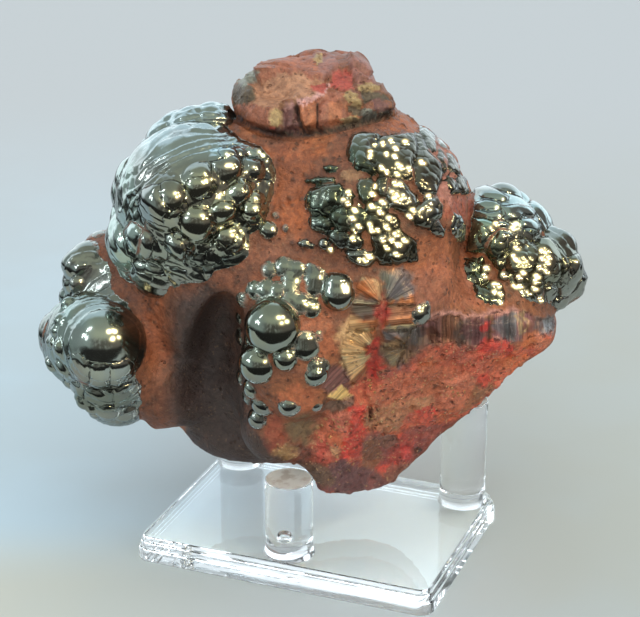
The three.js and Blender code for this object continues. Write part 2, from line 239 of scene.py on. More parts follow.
def cells(p, size, seed=0):
    """Distance to the nearest scattered point, as a share of the cell size, and that point's own random number."""
    q = (p / size + 1000.0).astype(np.float64)
    i = np.floor(q).astype(np.int64)
    best = np.full(len(p), 9.0, F32)
    name = np.zeros(len(p), F32)
    for dx in (-1, 0, 1):
        for dy in (-1, 0, 1):
            for dz in (-1, 0, 1):
                a, b, c = i[:, 0] + dx, i[:, 1] + dy, i[:, 2] + dz
                d = np.sqrt(
                    (a + _rand(a, b, c, seed) - q[:, 0]) ** 2
                    + (b + _rand(a, b, c, seed + 1) - q[:, 1]) ** 2
                    + (c + _rand(a, b, c, seed + 2) - q[:, 2]) ** 2
                ).astype(F32)
                near = d < best
                best[near] = d[near]
                name[near] = _rand(a, b, c, seed + 3)[near]
    return best, name


def ramp(x, a, b):
    t = np.clip((x - a) / (b - a), 0, 1)
    return t * t * (3 - 2 * t)


# ------------------------------------------------------------------ the field
def smin(a, b, k):
    h = np.maximum(k - np.abs(a - b), 0) / k
    return np.minimum(a, b) - h * h * k * 0.25


def ellipsoid(p, c, r, tilt=0.0, lean=0.0):
    q = p - np.array(c, F32)
    if tilt:
        a = math.radians(tilt)
        y = q[..., 1] * math.cos(a) + q[..., 2] * math.sin(a)
        z = -q[..., 1] * math.sin(a) + q[..., 2] * math.cos(a)
        q = np.stack([q[..., 0], y, z], -1)
    if lean:
        a = math.radians(lean)
        x = q[..., 0] * math.cos(a) - q[..., 2] * math.sin(a)
        z = q[..., 0] * math.sin(a) + q[..., 2] * math.cos(a)
        q = np.stack([x, q[..., 1], z], -1)
    q = q / np.array(r, F32)
    k0 = np.sqrt((q * q).sum(-1)) + F32(1e-9)
    q = q / np.array(r, F32)
    k1 = np.sqrt((q * q).sum(-1)) + F32(1e-9)
    return k0 * (k0 - 1) / k1


CAP = MASSES[-1]


def plane_through(a, b, c, inside):
    n = np.cross(b - a, c - a)
    n /= np.linalg.norm(n)
    if n @ (inside - a) > 0:
        n = -n
    return n.astype(F32), float(n @ a)


CAP_MIDDLE = np.array(CAP[:3])
# The broken sides of the cap, each through two places on its outline and leaning back by the third.
CAP_CUTS = [
    plane_through(at(229, 92, 6), at(268, 71, 6), at(240, 80, 20), CAP_MIDDLE),
    plane_through(at(262, 73, 6), at(300, 53, 6), at(280, 60, 20), CAP_MIDDLE),
    plane_through(at(318, 49, 6), at(362, 56.5, 6), at(340, 50, 20), CAP_MIDDLE),
    plane_through(at(366, 59, 6), at(399, 116, 6), at(380, 82, 20), CAP_MIDDLE),
]


def masses(p):
    f = None
    for x, y, z, rx, ry, rz, tilt, k in MASSES[:-1]:
        d = ellipsoid(p, (x, y, z), (rx, ry, rz), tilt)
        f = d if f is None else smin(f, d, k)
    x, y, z, rx, ry, rz, lean, k = HOLLOW
    return -smin(-f, ellipsoid(p, (x, y, z), (rx, ry, rz), 0, lean), k)


def cap(p):
    x, y, z, rx, ry, rz, tilt, k = CAP
    f = ellipsoid(p, (x, y, z), (rx, ry, rz), tilt)
    for n, d in CAP_CUTS:
        f = -smin(-f, -(p @ n - d), 1.2)
    return f


def cut(p, f):
    for nx, ny, nz, d in BREAKS:
        f = -smin(-f, -(p @ np.array([nx, ny, nz], F32) - d), 3)
    return f


def gradient(fn, p, e=0.25):
    g = np.zeros_like(p)
    for s in ((1, -1, -1), (-1, -1, 1), (-1, 1, -1), (1, 1, 1)):
        s = np.array(s, F32)
        g += s * fn(p + s * F32(e))[:, None]
    return g / (4 * e)


def unit(v):
    return v / (np.linalg.norm(v, axis=-1, keepdims=True) + 1e-12)


def grow_rear_knobs():
    """The lobes' unseen sides carry the same knobs as their fronts."""
    made = []
    rng = np.random.default_rng(11)
    for c, n, low, high, reach, keep in (
        ((-31, -2, 98), 90, 4.2, 6.6, 34, lambda d: d[1] > 0.05 and d[0] < 0.55 and d[2] > -0.75),
        ((-56, 3, 58), 84, 3.2, 5.2, 34, lambda d: d[1] > -0.15 and d[0] < 0.35),
        ((53, 8, 74), 84, 3.4, 5.2, 32, lambda d: d[1] > 0.0 and d[0] > -0.35 and d[2] > -0.75),
    ):
        c = np.array(c, F32)
        for i in range(n):
            z = 1 - (2 * i + 1) / n
            a = i * 2.399963
            d = np.array([math.sqrt(1 - z * z) * math.cos(a), math.sqrt(1 - z * z) * math.sin(a), z])
            d = unit(d + rng.normal(0, 0.09, 3))
            r = rng.uniform(low, high)
            if not keep(d):
                continue
            t = np.linspace(reach, 4, 121, dtype=F32)
            q = c + d.astype(F32) * t[:, None]
            f = solid(q, KNOB_ROWS)
            k = int(np.argmax(f < 0))
            if f[k] >= 0 or k == 0:
                continue
            p = q[k][None]
            g = unit(gradient(lambda x: solid(x, KNOB_ROWS), p, 0.6))[0]
            made.append([*(p[0] - g * r * rng.uniform(0.62, 0.74)), r])
    return np.array(made, F32)


def knob_distance(p, rows):
    f = np.full(len(p), 1e9, F32)
    for c in rows:
        f = np.minimum(f, np.linalg.norm(p - c[:3], axis=-1) - c[3])
    return f


def solid(p, rows):
    return cut(p, np.minimum(np.minimum(masses(p), cap(p)), knob_distance(p, rows)))


# Knobs that were read off the seen side: place in the picture, radius in its pixels, sphere radius over visible radius.
SEEN = [
    # the lower left lobe's crust
    (80, 261, 8, 1.2), (58, 348, 8, 1.3), (62, 368, 9, 1.3), (56, 330, 7, 1.3), (74, 392, 9, 1.3), (92, 408, 9, 1.2), (108, 414, 9, 1.2), (124, 414, 8, 1.2),
    # the front lobe; the long ones are two spheres each
    (270, 270, 8, 1.1), (285, 267, 9, 1.1), (298, 269, 9, 1.1), (292, 279, 9, 1.15), (315, 267, 9.5, 1.1), (315, 273, 10, 1.1),
    (315, 280, 10, 1.1), (315, 286, 9.5, 1.1), (338, 286, 14, 1.06), (338, 294, 15, 1.06), (255, 290, 8, 1.15), (266, 290, 9, 1.15), (277, 292, 9, 1.15),
    (263, 298, 7, 1.2), (290, 288, 8, 1.15), (292, 299, 9, 1.15), (301, 304, 9.5, 1.1), (311, 308, 8.5, 1.1), (243, 299, 7, 1.1),
    (272, 326, 25, 1.05), (241, 336, 8, 1.1), (250, 340, 8.5, 1.1), (247, 350, 9, 1.1), (257, 364, 18, 1.06), (285, 359, 11, 1.1),
    (306, 341, 9.5, 1.1), (306, 348, 10, 1.1), (319, 334, 4.5, 1.1), (319, 338, 4.5, 1.1), (317, 368, 10.5, 1.08), (316, 375, 11, 1.08),
    (252, 388, 9, 1.1), (248, 397, 7, 1.1), (263, 405, 12, 1.06), (258, 418, 9.5, 1.1), (289, 407, 9.5, 1.06),
    (317, 407, 5.5, 1.1), (420, 315, 9, 1.1), (424, 307, 6, 1.1), (240, 318, 6, 1.1), (241, 376, 7, 1.1), (262, 350, 5, 1.1),
    # the upper left dome
    (165, 203, 25, 1.3), (144, 243, 19, 1.3), (200, 181, 17, 1.3), (225, 165, 17, 1.3), (239, 192, 13, 1.3), (255, 172, 14, 1.3),
    (224, 210, 13, 1.3), (198, 224, 19, 1.3), (252, 205, 14, 1.3), (228, 240, 16, 1.3), (180, 246, 12, 1.3),
]
DROP = set(range(21, 45)) | {46, 57, 58, 59} | set(range(62, 97))


def flat_rows(rows, f, under):
    """Low, wide knobs: a larger sphere sunk deeper, its top left where it was."""
    out = rows.copy()
    g = unit(gradient(lambda x: np.minimum(masses(x), knob_distance(x, under)), rows[:, :3].copy(), 0.8))
    out[:, :3] -= g * (f - 1) * rows[:, 3:4]
    out[:, 3] *= f
    return out


def nested(c, d, r, lifts):
    """Domes inside one another's outlines, each a little proud of the last, so that each ends in a ledge."""
    d = unit(np.array(d, float))
    return [[*(np.array(c, float) + d * (r + lift - q)), q] for q, lift in lifts]


def seen_rows(rows):
    made = []
    for px, py, rpx, f in SEEN:
        way = unit(at(px, py, 0.0) - EYE).astype(F32)
        t = np.linspace(400, 520, 481, dtype=F32)
        q = EYE.astype(F32) + way * t[:, None]
        v = np.minimum(masses(q), knob_distance(q, rows))
        k = int(np.argmax(v < 0))
        if v[k] >= 0:
            continue
        p = q[k][None]
        g = unit(gradient(lambda x: np.minimum(masses(x), knob_distance(x, rows)), p, 0.8))[0]
        g = unit(g - way * 0.25)
        r = rpx * float((p[0] - EYE) @ FWD) / FOCAL
        if px < 130:
            r, rise = r * 1.05, 0.05
        else:
            r, rise, f = (r * 1.12, 0.18, f) if rpx > 10.5 else (r * 1.22, 0.08, f * 1.3)
        if py > 380 and 250 < px < 350:
            f, rise = 1.06, 0.1
        if py < 245 and px < 262:
            r, rise, f = rpx * 1.04 * float((p[0] - EYE) @ FWD) / FOCAL, 0.02, 1.3
        made.append([*(p[0] - g * (math.sqrt((r * f) ** 2 - r * r) - rise * r)), r * f])
        SEEN_SATIN.append(0.75 if rpx < 9.4 else 0.35 if rpx < 11 else 0.05)
    return np.array(made, F32)


def lowered(rows, f, drop):
    out = flat_rows(rows, f, SHELLS)
    out[:, 3] -= drop
    return out


KNOB_ROWS = np.array(KNOBS, F32)
SHELLS = KNOB_ROWS[:21].copy()
SHELLS[7:14, 3] -= 1.0
SHELLS[20, 3] = 1.0
DOMES = (
    nested((-31.5, -4.5, 97.8), (0.11, -0.668, 0.7355), 20.6, ((20.4, 1.3), (18.7, 2.6)))
    + nested((-55.9, -12.5, 62.4), (0.13, -0.757, 0.642), 11.2, ((9.9, 0.65), (8.6, 1.2)))
    + nested((-45.2, -6.0, 88.8), (-0.30, -0.90, 0.12), 9.8, ((8.2, 0.9),))
)
DOMES = np.array(DOMES, F32)
UNDER = np.vstack([SHELLS, DOMES])
ALL = np.array(KNOBS, F32)
KEPT = np.array([k for i, k in enumerate(ALL) if i > 20 and i not in DROP and i < 97], F32)
SMALL = np.array([k for i, k in enumerate(ALL) if 139 <= i < 150], F32)
RIGHT_ROWS = lowered(np.array([k for i, k in enumerate(ALL) if i >= 150 and i not in (152, 164)], F32), 1.9, 1.3)
SEEN_SATIN = []
SEEN_ROWS = seen_rows(UNDER)
PARTS = [(SHELLS, 0.8), (DOMES, 0.3), (KEPT, 0.8), (SMALL, 0.5), (RIGHT_ROWS, 0.6)]
KNOB_ROWS = np.vstack([a for a, _ in PARTS] + [SEEN_ROWS])
SATIN = [w for a, w in PARTS for _ in a] + SEEN_SATIN
REAR = flat_rows(grow_rear_knobs(), 1.25, SHELLS)
KNOB_ROWS = np.vstack([KNOB_ROWS, REAR])
SATIN = np.array(SATIN + [0.4] * len(REAR), F32)
print("knobs", len(KNOB_ROWS))


class Near:
    """The knobs nearest to each point, so that each step reads only those."""

    def __init__(self, p, count=5):
        self.ids = np.zeros((len(p), count), np.int32)
        for s in range(0, len(p), 40000):
            q = p[s : s + 40000]
            d = np.stack([np.sqrt(((q - c[:3]) ** 2).sum(1)) - c[3] for c in KNOB_ROWS], 1)
            self.ids[s : s + 40000] = np.argpartition(d, count, 1)[:, :count]

    def knobs(self, p):
        out = np.full(len(p), 1e9, F32)
        for k in range(self.ids.shape[1]):
            c = KNOB_ROWS[self.ids[:, k]]
            out = np.minimum(out, np.sqrt(((p - c[:, :3]) ** 2).sum(1)) - c[:, 3])
        return out

    def two(self, p):
        """The nearest and second nearest knob distances, and the nearest knob."""
        d = np.stack([np.sqrt(((p - KNOB_ROWS[self.ids[:, k], :3]) ** 2).sum(1)) - KNOB_ROWS[self.ids[:, k], 3] for k in range(self.ids.shape[1])], 1)
        o = np.argsort(d, 1)
        r = np.arange(len(p))
        a, b = self.ids[r, o[:, 0]], self.ids[r, o[:, 1]]
        apart = np.linalg.norm(KNOB_ROWS[a, :3] - KNOB_ROWS[b, :3], axis=1) / np.minimum(KNOB_ROWS[a, 3], KNOB_ROWS[b, 3])
        # two spheres of one long knob have no joint between them
        return d[r, o[:, 0]], d[r, o[:, 1]] + 2 * (1 - ramp(apart, 0.6, 1.0)), a

    def solid(self, p):
        return cut(p, np.minimum(np.minimum(masses(p), cap(p)), self.knobs(p)))


# ------------------------------------------------------------------ the surface, as nets over a grid
def upsample(v):
    for axis in range(3):
        n = v.shape[axis]
        a = np.take(v, range(0, n - 1), axis)
        b = np.take(v, range(1, n), axis)
        shape = list(v.shape)
        shape[axis] = 2 * n - 1
        out = np.empty(shape, F32)
        index = [slice(None)] * 3
        index[axis] = slice(0, None, 2)
        out[tuple(index)] = v
        index[axis] = slice(1, None, 2)
        out[tuple(index)] = (a + b) * F32(0.5)
        v = out
    return v


def surface_nets(h):
    lo = np.array([-78.0, -50.0, 12.0])
    n = np.ceil((np.array([74.0, 50.0, 138.0]) - lo) / (2 * h)).astype(int) + 1
    axes = [lo[k] + np.arange(n[k]) * 2 * h for k in range(3)]
    g = np.stack(np.meshgrid(*axes, indexing="ij"), -1).astype(F32)
    shape = g.shape[:3]
    p = g.reshape(-1, 3)
    v = np.empty(len(p), F32)
    c = np.empty(len(p), F32)
    for s in range(0, len(p), 200000):
        v[s : s + 200000] = masses(p[s : s + 200000])
        c[s : s + 200000] = cap(p[s : s + 200000])
    v = np.minimum(upsample(v.reshape(shape)), upsample(c.reshape(shape)))
    for x, y, z, r in KNOB_ROWS:
        a = [max(int((q - r - 2 - lo[k]) / h), 0) for k, q in enumerate((x, y, z))]
        b = [min(int((q + r + 2 - lo[k]) / h) + 2, v.shape[k]) for k, q in enumerate((x, y, z))]
        if any(b[k] <= a[k] for k in range(3)):
            continue
        X = (lo[0] + np.arange(a[0], b[0]) * h - x)[:, None, None]
        Y = (lo[1] + np.arange(a[1], b[1]) * h - y)[None, :, None]
        Z = (lo[2] + np.arange(a[2], b[2]) * h - z)[None, None, :]
        d = (np.sqrt(X * X + Y * Y + Z * Z) - r).astype(F32)
        block = v[a[0] : b[0], a[1] : b[1], a[2] : b[2]]
        np.minimum(block, d, out=block)
    X = (lo[0] + np.arange(v.shape[0]) * h).astype(F32)[:, None, None]
    Y = (lo[1] + np.arange(v.shape[1]) * h).astype(F32)[None, :, None]
    Z = (lo[2] + np.arange(v.shape[2]) * h).astype(F32)[None, None, :]
    for nx, ny, nz, d in BREAKS:
        v = -smin(-v, -(X * F32(nx) + Y * F32(ny) + Z * F32(nz) - F32(d)), 3)

    s = v < 0
    count = np.zeros(tuple(k - 1 for k in s.shape), np.int8)
    for dx in (0, 1):
        for dy in (0, 1):
            for dz in (0, 1):
                count += s[dx : s.shape[0] - 1 + dx, dy : s.shape[1] - 1 + dy, dz : s.shape[2] - 1 + dz]
    active = (count > 0) & (count < 8)
    I, J, K = np.nonzero(active)
    index = np.full(active.shape, -1, np.int32)
    index[active] = np.arange(len(I), dtype=np.int32)
    corner = {(a, b, c): v[I + a, J + b, K + c] for a in (0, 1) for b in (0, 1) for c in (0, 1)}
    total = np.zeros((len(I), 3))
    many = np.zeros(len(I))
    for axis in range(3):
        for u in (0, 1):
            for w in (0, 1):
                a = [u, w]
                a.insert(axis, 0)
                b = list(a)
                b[axis] = 1
                va, vb = corner[tuple(a)], corner[tuple(b)]
                cross = (va < 0) != (vb < 0)
                t = va[cross] / (va[cross] - vb[cross])
                at_ = np.tile(np.array(a, float), (len(t), 1))
                at_[:, axis] = t
                total[cross] += at_
                many[cross] += 1
    co = (np.stack([I, J, K], 1) + total / many[:, None]) * h + lo
    quads = []
    for axis in range(3):
        m = s.shape[axis] - 1
        first = np.take(s, range(0, m), axis)
        second = np.take(s, range(1, m + 1), axis)
        e = np.nonzero(first != second)
        inside = first[e]
        e = list(e)
        o1, o2 = [k for k in range(3) if k != axis]
        ok = (e[o1] > 0) & (e[o2] > 0) & (e[o1] < active.shape[o1]) & (e[o2] < active.shape[o2])
        e = [k[ok] for k in e]
        inside = inside[ok]
        ids = []
        for d1, d2 in ((-1, -1), (0, -1), (0, 0), (-1, 0)):
            q = list(e)
            q[o1] = e[o1] + d1
            q[o2] = e[o2] + d2
            ids.append(index[tuple(q)])
        quad = np.stack(ids, 1)
        flip = inside if axis != 1 else ~inside
        quad[~flip] = quad[~flip][:, ::-1]
        quads.append(quad)
    quads = np.vstack(quads)
    quads = quads[(quads >= 0).all(1)]
    return co.astype(F32), quads


# ------------------------------------------------------------------ zones, as outlines in the picture
def polygon(u, v, points, soft):
    """1 inside the outline, 0 outside, over a band of soft pixels."""
    pts = np.array(points, float)
    d2 = np.full(len(u), 1e9)
    inside = np.zeros(len(u), bool)
    for k in range(len(pts)):
        a, b = pts[k], pts[(k + 1) % len(pts)]
        e = b - a
        w = np.stack([u - a[0], v - a[1]], 1)
        t = np.clip((w @ e) / (e @ e), 0, 1)
        d2 = np.minimum(d2, ((w - t[:, None] * e) ** 2).sum(1))
        hit = ((a[1] > v) != (b[1] > v)) & (u < (b[0] - a[0]) * (v - a[1]) / (b[1] - a[1] + 1e-12) + a[0])
        inside ^= hit
    d = np.sqrt(d2) * np.where(inside, 1, -1)
    return np.clip(d / soft * 0.5 + 0.5, 0, 1).astype(F32)


FAN_LEFT = [(362, 276), (356, 289), (351, 313), (348, 328), (343, 343), (341, 357), (345, 373), (353, 384), (366, 375), (371, 352), (376, 330), (381, 308), (382, 283)]
FAN_RIGHT = [(382, 271), (392, 268), (402, 271), (410, 281), (416, 300), (414, 337), (410, 346), (400, 357), (396, 367), (388, 361), (383, 343), (385, 321), (382, 305)]
STRATA = [(158, 182), (140, 205), (128, 236), (116, 222), (126, 165), (158, 122), (198, 98), (236, 96), (264, 138), (280, 158), (262, 156), (240, 149), (205, 152), (176, 164)]
VEIN = [(384, 288), (388, 302), (386, 318), (383, 335), (379, 352), (376, 370), (374, 392), (366, 405), (358, 398), (363, 380), (368, 358), (372, 338), (377, 318), (380, 300)]
LEDGE = [(398, 368), (405, 345), (413, 328), (433, 320), (447, 315), (460, 315), (470, 319), (493, 313), (518, 312), (528, 314), (541, 319), (560, 316), (556, 326), (547, 333), (530, 340), (513, 342), (488, 342), (468, 346), (455, 342), (430, 343), (413, 352)]
SECTION = [(265, 423), (280, 416), (292, 418), (318, 415), (329, 418), (319, 432), (308, 447), (292, 456), (279, 450), (267, 438)]
HALF_BALL = [(325, 370), (340, 359), (348, 381), (342, 388), (327, 397), (321, 384)]
GOLD_CHIP = [(328, 399), (342, 387), (354, 388), (348, 396), (339, 399)]
GREY_CHIP = [(325, 400), (352, 398), (354, 405), (342, 411), (326, 412)]
FRACTURE = [(330, 410), (352, 388), (372, 372), (398, 366), (413, 350), (432, 343), (456, 341), (468, 346), (490, 341), (514, 341), (548, 332), (562, 322), (570, 345), (520, 380), (490, 420), (430, 480), (370, 505), (320, 500), (300, 470), (285, 462), (312, 440)]
EYE32 = EYE.astype(F32)

# Plates of the metallic skin: height in mm, rounded edge in pixels of the picture, then the outline.
DOME_PLATES = [
    (0.75, 14, [(163, 183), (173, 181), (181, 183), (185, 191), (184, 199), (180, 206), (174, 211), (167, 208), (161, 199), (160, 191)]),
    (0.65, 12, [(143, 191), (153, 185), (160, 185), (160, 193), (163, 203), (167, 209), (171, 213), (164, 221), (156, 218), (147, 211), (141, 203), (141, 196)]),
    (0.30, 6, [(167, 213), (177, 209), (181, 213), (178, 222), (180, 231), (173, 231), (166, 225), (163, 221)]),
    (0.55, 12, [(186, 182), (198, 178), (210, 179), (211, 185), (208, 193), (203, 199), (198, 206), (190, 206), (186, 199), (186, 191)]),
    (0.15, 6, [(203, 198), (210, 192), (216, 195), (216, 202), (210, 206), (203, 208), (200, 203)]),
    (0.35, 9, [(190, 169), (201, 163), (210, 162), (211, 171), (210, 178), (198, 177), (190, 175)]),
    (0.65, 13, [(213, 162), (221, 159), (233, 156), (241, 159), (243, 166), (238, 176), (233, 182), (228, 188), (221, 191), (216, 183), (213, 173)]),
    (0.40, 5, [(218, 151), (233, 146), (247, 148), (261, 152), (268, 158), (258, 158), (247, 155), (236, 156), (224, 158)]),
    (0.60, 10, [(244, 159), (258, 158), (270, 159), (274, 168), (273, 178), (261, 178), (250, 176), (243, 173), (243, 165)]),
    (0.35, 7, [(227, 191), (236, 183), (244, 185), (247, 193), (246, 202), (238, 206), (231, 205), (226, 199)]),
    (0.60, 10, [(247, 182), (260, 181), (271, 182), (274, 191), (271, 201), (261, 203), (250, 202), (247, 192)]),
    (0.70, 11, [(240, 206), (251, 203), (264, 205), (268, 211), (264, 219), (256, 225), (246, 222), (240, 215)]),
    (0.75, 10, [(210, 208), (221, 203), (233, 203), (236, 209), (234, 218), (227, 225), (218, 223), (211, 218), (208, 212)]),
    (0.40, 10, [(180, 218), (190, 211), (201, 211), (210, 216), (213, 226), (210, 236), (201, 243), (191, 242), (183, 236), (178, 228)]),
    (0.55, 10, [(214, 226), (224, 226), (233, 222), (238, 225), (241, 232), (236, 241), (224, 246), (214, 241), (212, 233)]),
    (0.75, 8, [(236, 236), (244, 228), (250, 229), (248, 239), (247, 249), (238, 253), (231, 248)]),
    (0.30, 5, [(181, 239), (201, 245), (216, 242), (218, 246), (210, 253), (196, 255), (184, 248)]),
    (0.30, 6, [(210, 249), (220, 246), (224, 256), (220, 263), (208, 262), (206, 255)]),
    (0.40, 8, [(223, 251), (236, 246), (247, 248), (246, 258), (236, 263), (224, 262)]),
    (0.35, 6, [(147, 222), (157, 226), (167, 229), (173, 236), (181, 243), (186, 249), (185, 262), (174, 256), (163, 242), (153, 232), (146, 228)]),
    (0.35, 6, [(187, 249), (196, 255), (204, 256), (203, 266), (190, 265), (187, 260)]),
    (0.55, 9, [(124, 233), (131, 222), (138, 226), (143, 229), (139, 240), (138, 250), (134, 258), (128, 253), (124, 243)]),
    (0.55, 9, [(144, 230), (151, 235), (154, 242), (151, 253), (146, 262), (136, 260), (139, 250), (140, 240)]),
    (0.45, 8, [(154, 243), (163, 243), (168, 251), (167, 259), (160, 262), (153, 259)]),
    (0.25, 4, [(131, 263), (146, 266), (163, 269), (163, 275), (150, 275), (136, 271)]),
    (0.30, 5, [(164, 266), (178, 268), (186, 273), (184, 281), (173, 282), (164, 276)]),
    (0.30, 5, [(188, 261), (201, 268), (203, 281), (196, 282), (187, 275)]),
    (0.30, 4, [(204, 268), (213, 269), (213, 275), (206, 281)]),
    (0.25, 4, [(126, 273), (138, 273), (151, 276), (150, 282), (138, 282), (128, 279)]),
]
MIDDLE_PLATES = [
    (1.5, 8, [(352, 136), (362, 133), (375, 134), (380, 136), (375, 144), (370, 150), (368, 157), (370, 162), (375, 164), (377, 170), (375, 175), (369, 174), (362, 170), (359, 170), (354, 166), (350, 160), (347, 152), (349, 144)]),
    (1.2, 6, [(380, 137), (395, 136), (407, 134), (412, 136), (417, 145), (415, 157), (412, 170), (412, 179), (405, 180), (392, 177), (380, 174), (376, 167), (371, 161), (370, 154), (375, 145)]),
    (1.2, 7, [(412, 134), (420, 134), (425, 145), (432, 155), (440, 165), (442, 175), (439, 186), (435, 195), (425, 197), (419, 190), (415, 182), (414, 170), (416, 157), (419, 145)]),
    (1.1, 5, [(360, 180), (370, 179), (374, 182), (375, 190), (374, 197), (370, 202), (365, 205), (361, 200), (359, 192), (358, 185)]),
    (1.0, 5, [(377, 179), (387, 177), (390, 182), (389, 190), (386, 196), (381, 195), (378, 190)]),
    (1.4, 7, [(390, 179), (400, 179), (406, 185), (409, 190), (415, 195), (417, 202), (412, 210), (405, 213), (397, 209), (391, 207), (387, 200), (386, 192), (389, 186)]),
    (1.3, 7, [(425, 198), (437, 196), (442, 205), (441, 217), (435, 221), (430, 229), (422, 227), (415, 224), (412, 219), (407, 216), (413, 211), (419, 205)]),
    (0.8, 4, [(432, 224), (439, 222), (444, 230), (442, 237), (436, 236), (432, 231)]),
    (0.8, 4, [(454, 214), (460, 217), (464, 227), (464, 240), (459, 241), (452, 232)]),
    (0.8, 4, [(420, 127), (427, 130), (435, 136), (437, 145), (435, 151), (430, 150), (425, 142), (420, 134)]),
    (0.9, 4, [(438, 148), (443, 152), (447, 162), (446, 172), (442, 170), (439, 160)]),
    (0.9, 4, [(446, 150), (453, 156), (459, 168), (458, 174), (451, 170), (447, 160)]),
    (0.8, 3, [(437, 137), (444, 142), (449, 149), (446, 150), (440, 146), (437, 141)]),
    (0.9, 4, [(458, 174), (465, 180), (468, 192), (463, 194), (458, 186)]),
    (0.8, 4, [(447, 176), (455, 180), (458, 192), (452, 194), (447, 186)]),
    (1.5, 9, [(310, 190), (319, 186), (329, 184), (341, 185), (344, 190), (340, 197), (341, 205), (336, 207), (330, 210), (329, 215), (320, 216), (311, 214), (307, 207), (306, 200)]),
    (1.1, 6, [(331, 212), (342, 207), (350, 209), (350, 216), (347, 224), (349, 230), (341, 232), (334, 226), (329, 220)]),
    (1.0, 6, [(311, 216), (320, 217), (329, 219), (331, 226), (327, 235), (319, 232), (311, 227), (309, 221)]),
    (0.9, 5, [(329, 232), (337, 229), (346, 232), (349, 237), (345, 245), (341, 250), (336, 245), (330, 240)]),
    (1.1, 5, [(342, 190), (352, 191), (355, 197), (350, 207), (342, 206), (342, 198)]),
    (1.2, 6, [(350, 209), (359, 207), (365, 212), (367, 224), (362, 232), (354, 234), (348, 229), (347, 219)]),
    (1.1, 5, [(365, 207), (375, 202), (386, 203), (389, 208), (387, 212), (380, 215), (370, 215), (365, 212)]),
    (1.2, 5, [(367, 216), (377, 216), (385, 216), (387, 226), (385, 232), (375, 235), (369, 232), (366, 225)]),
    (1.0, 5, [(386, 213), (395, 216), (400, 224), (400, 230), (392, 231), (387, 230), (386, 222)]),
    (1.1, 6, [(345, 240), (352, 234), (360, 235), (364, 241), (361, 247), (354, 251), (346, 250), (342, 245)]),
    (1.2, 5, [(345, 252), (354, 252), (365, 250), (372, 252), (374, 260), (370, 266), (360, 265), (350, 260)]),
    (1.2, 6, [(372, 236), (382, 234), (391, 232), (395, 237), (392, 247), (387, 255), (390, 264), (380, 264), (375, 257), (374, 247), (372, 241)]),
    (1.3, 6, [(392, 231), (400, 230), (407, 236), (412, 244), (410, 252), (406, 261), (397, 264), (390, 262), (387, 255), (392, 247), (395, 237)]),
    (1.0, 5, [(410, 237), (416, 242), (417, 252), (416, 261), (407, 261), (410, 252), (412, 245)]),
    (0.6, 3, [(324, 168), (330, 166), (337, 168), (336, 171), (328, 171)]),
    (0.5, 3, [(306, 181), (318, 178), (334, 178), (334, 182), (320, 183), (307, 183)]),
    (0.7, 3, [(298, 243), (306, 240), (314, 245), (313, 248), (302, 247)]),
    (0.9, 4, [(319, 241), (325, 239), (331, 246), (334, 250), (328, 251), (321, 248)]),
]
RIGHT_PLATES = [
    (0.8, 4, [(475, 187), (484, 185), (492, 189), (502, 194), (508, 197), (504, 200), (493, 198), (483, 195), (475, 192)]),
    (0.8, 4, [(477, 203), (486, 201), (496, 203), (500, 206), (499, 210), (488, 211), (478, 210), (475, 206)]),
    (0.7, 4, [(476, 211), (488, 212), (499, 211), (502, 215), (500, 219), (488, 218), (476, 217)]),
    (1.0, 5, [(501, 207), (510, 206), (519, 205), (528, 207), (535, 213), (533, 216), (524, 214), (520, 216), (517, 220), (507, 220), (503, 214)]),
    (0.9, 5, [(521, 221), (530, 219), (539, 224), (540, 229), (534, 233), (526, 229), (521, 226)]),
    (1.4, 9, [(474, 219), (488, 220), (503, 221), (508, 223), (507, 228), (499, 229), (491, 235), (487, 241), (484, 250), (475, 253), (468, 250), (469, 239), (473, 228)]),
    (1.3, 8, [(491, 237), (501, 230), (510, 231), (520, 235), (518, 239), (510, 241), (508, 250), (505, 261), (501, 268), (496, 267), (493, 259), (487, 253), (485, 248), (488, 241)]),
    (1.3, 8, [(510, 241), (524, 240), (537, 246), (539, 253), (537, 264), (533, 273), (524, 273), (515, 275), (507, 270), (505, 263), (509, 252)]),
    (1.4, 9, [(537, 239), (547, 237), (556, 244), (562, 253), (569, 264), (572, 275), (566, 282), (555, 282), (544, 280), (535, 273), (538, 263), (540, 253), (537, 246)]),
    (1.2, 7, [(510, 275), (524, 274), (535, 274), (542, 280), (543, 292), (542, 302), (532, 302), (524, 296), (517, 287), (510, 282)]),
    (1.1, 8, [(569, 259), (577, 255), (586, 278), (582, 294), (570, 302), (562, 310), (555, 306), (547, 300), (546, 287), (550, 283), (562, 284), (570, 278)]),
    (1.1, 6, [(465, 259), (482, 258), (484, 264), (488, 270), (487, 278), (482, 283), (475, 282), (468, 278), (465, 267)]),
    (1.1, 6, [(474, 283), (484, 282), (492, 282), (500, 284), (504, 293), (503, 300), (497, 304), (487, 302), (478, 296), (475, 289)]),
    (0.9, 4, [(500, 272), (507, 273), (508, 277), (505, 280), (499, 278)]),
]
GROOVE = [(172, 300), (200, 290), (232, 296), (242, 320), (248, 350), (250, 390), (256, 430), (268, 464), (240, 474), (205, 466), (180, 444), (168, 412), (172, 360), (167, 330)]
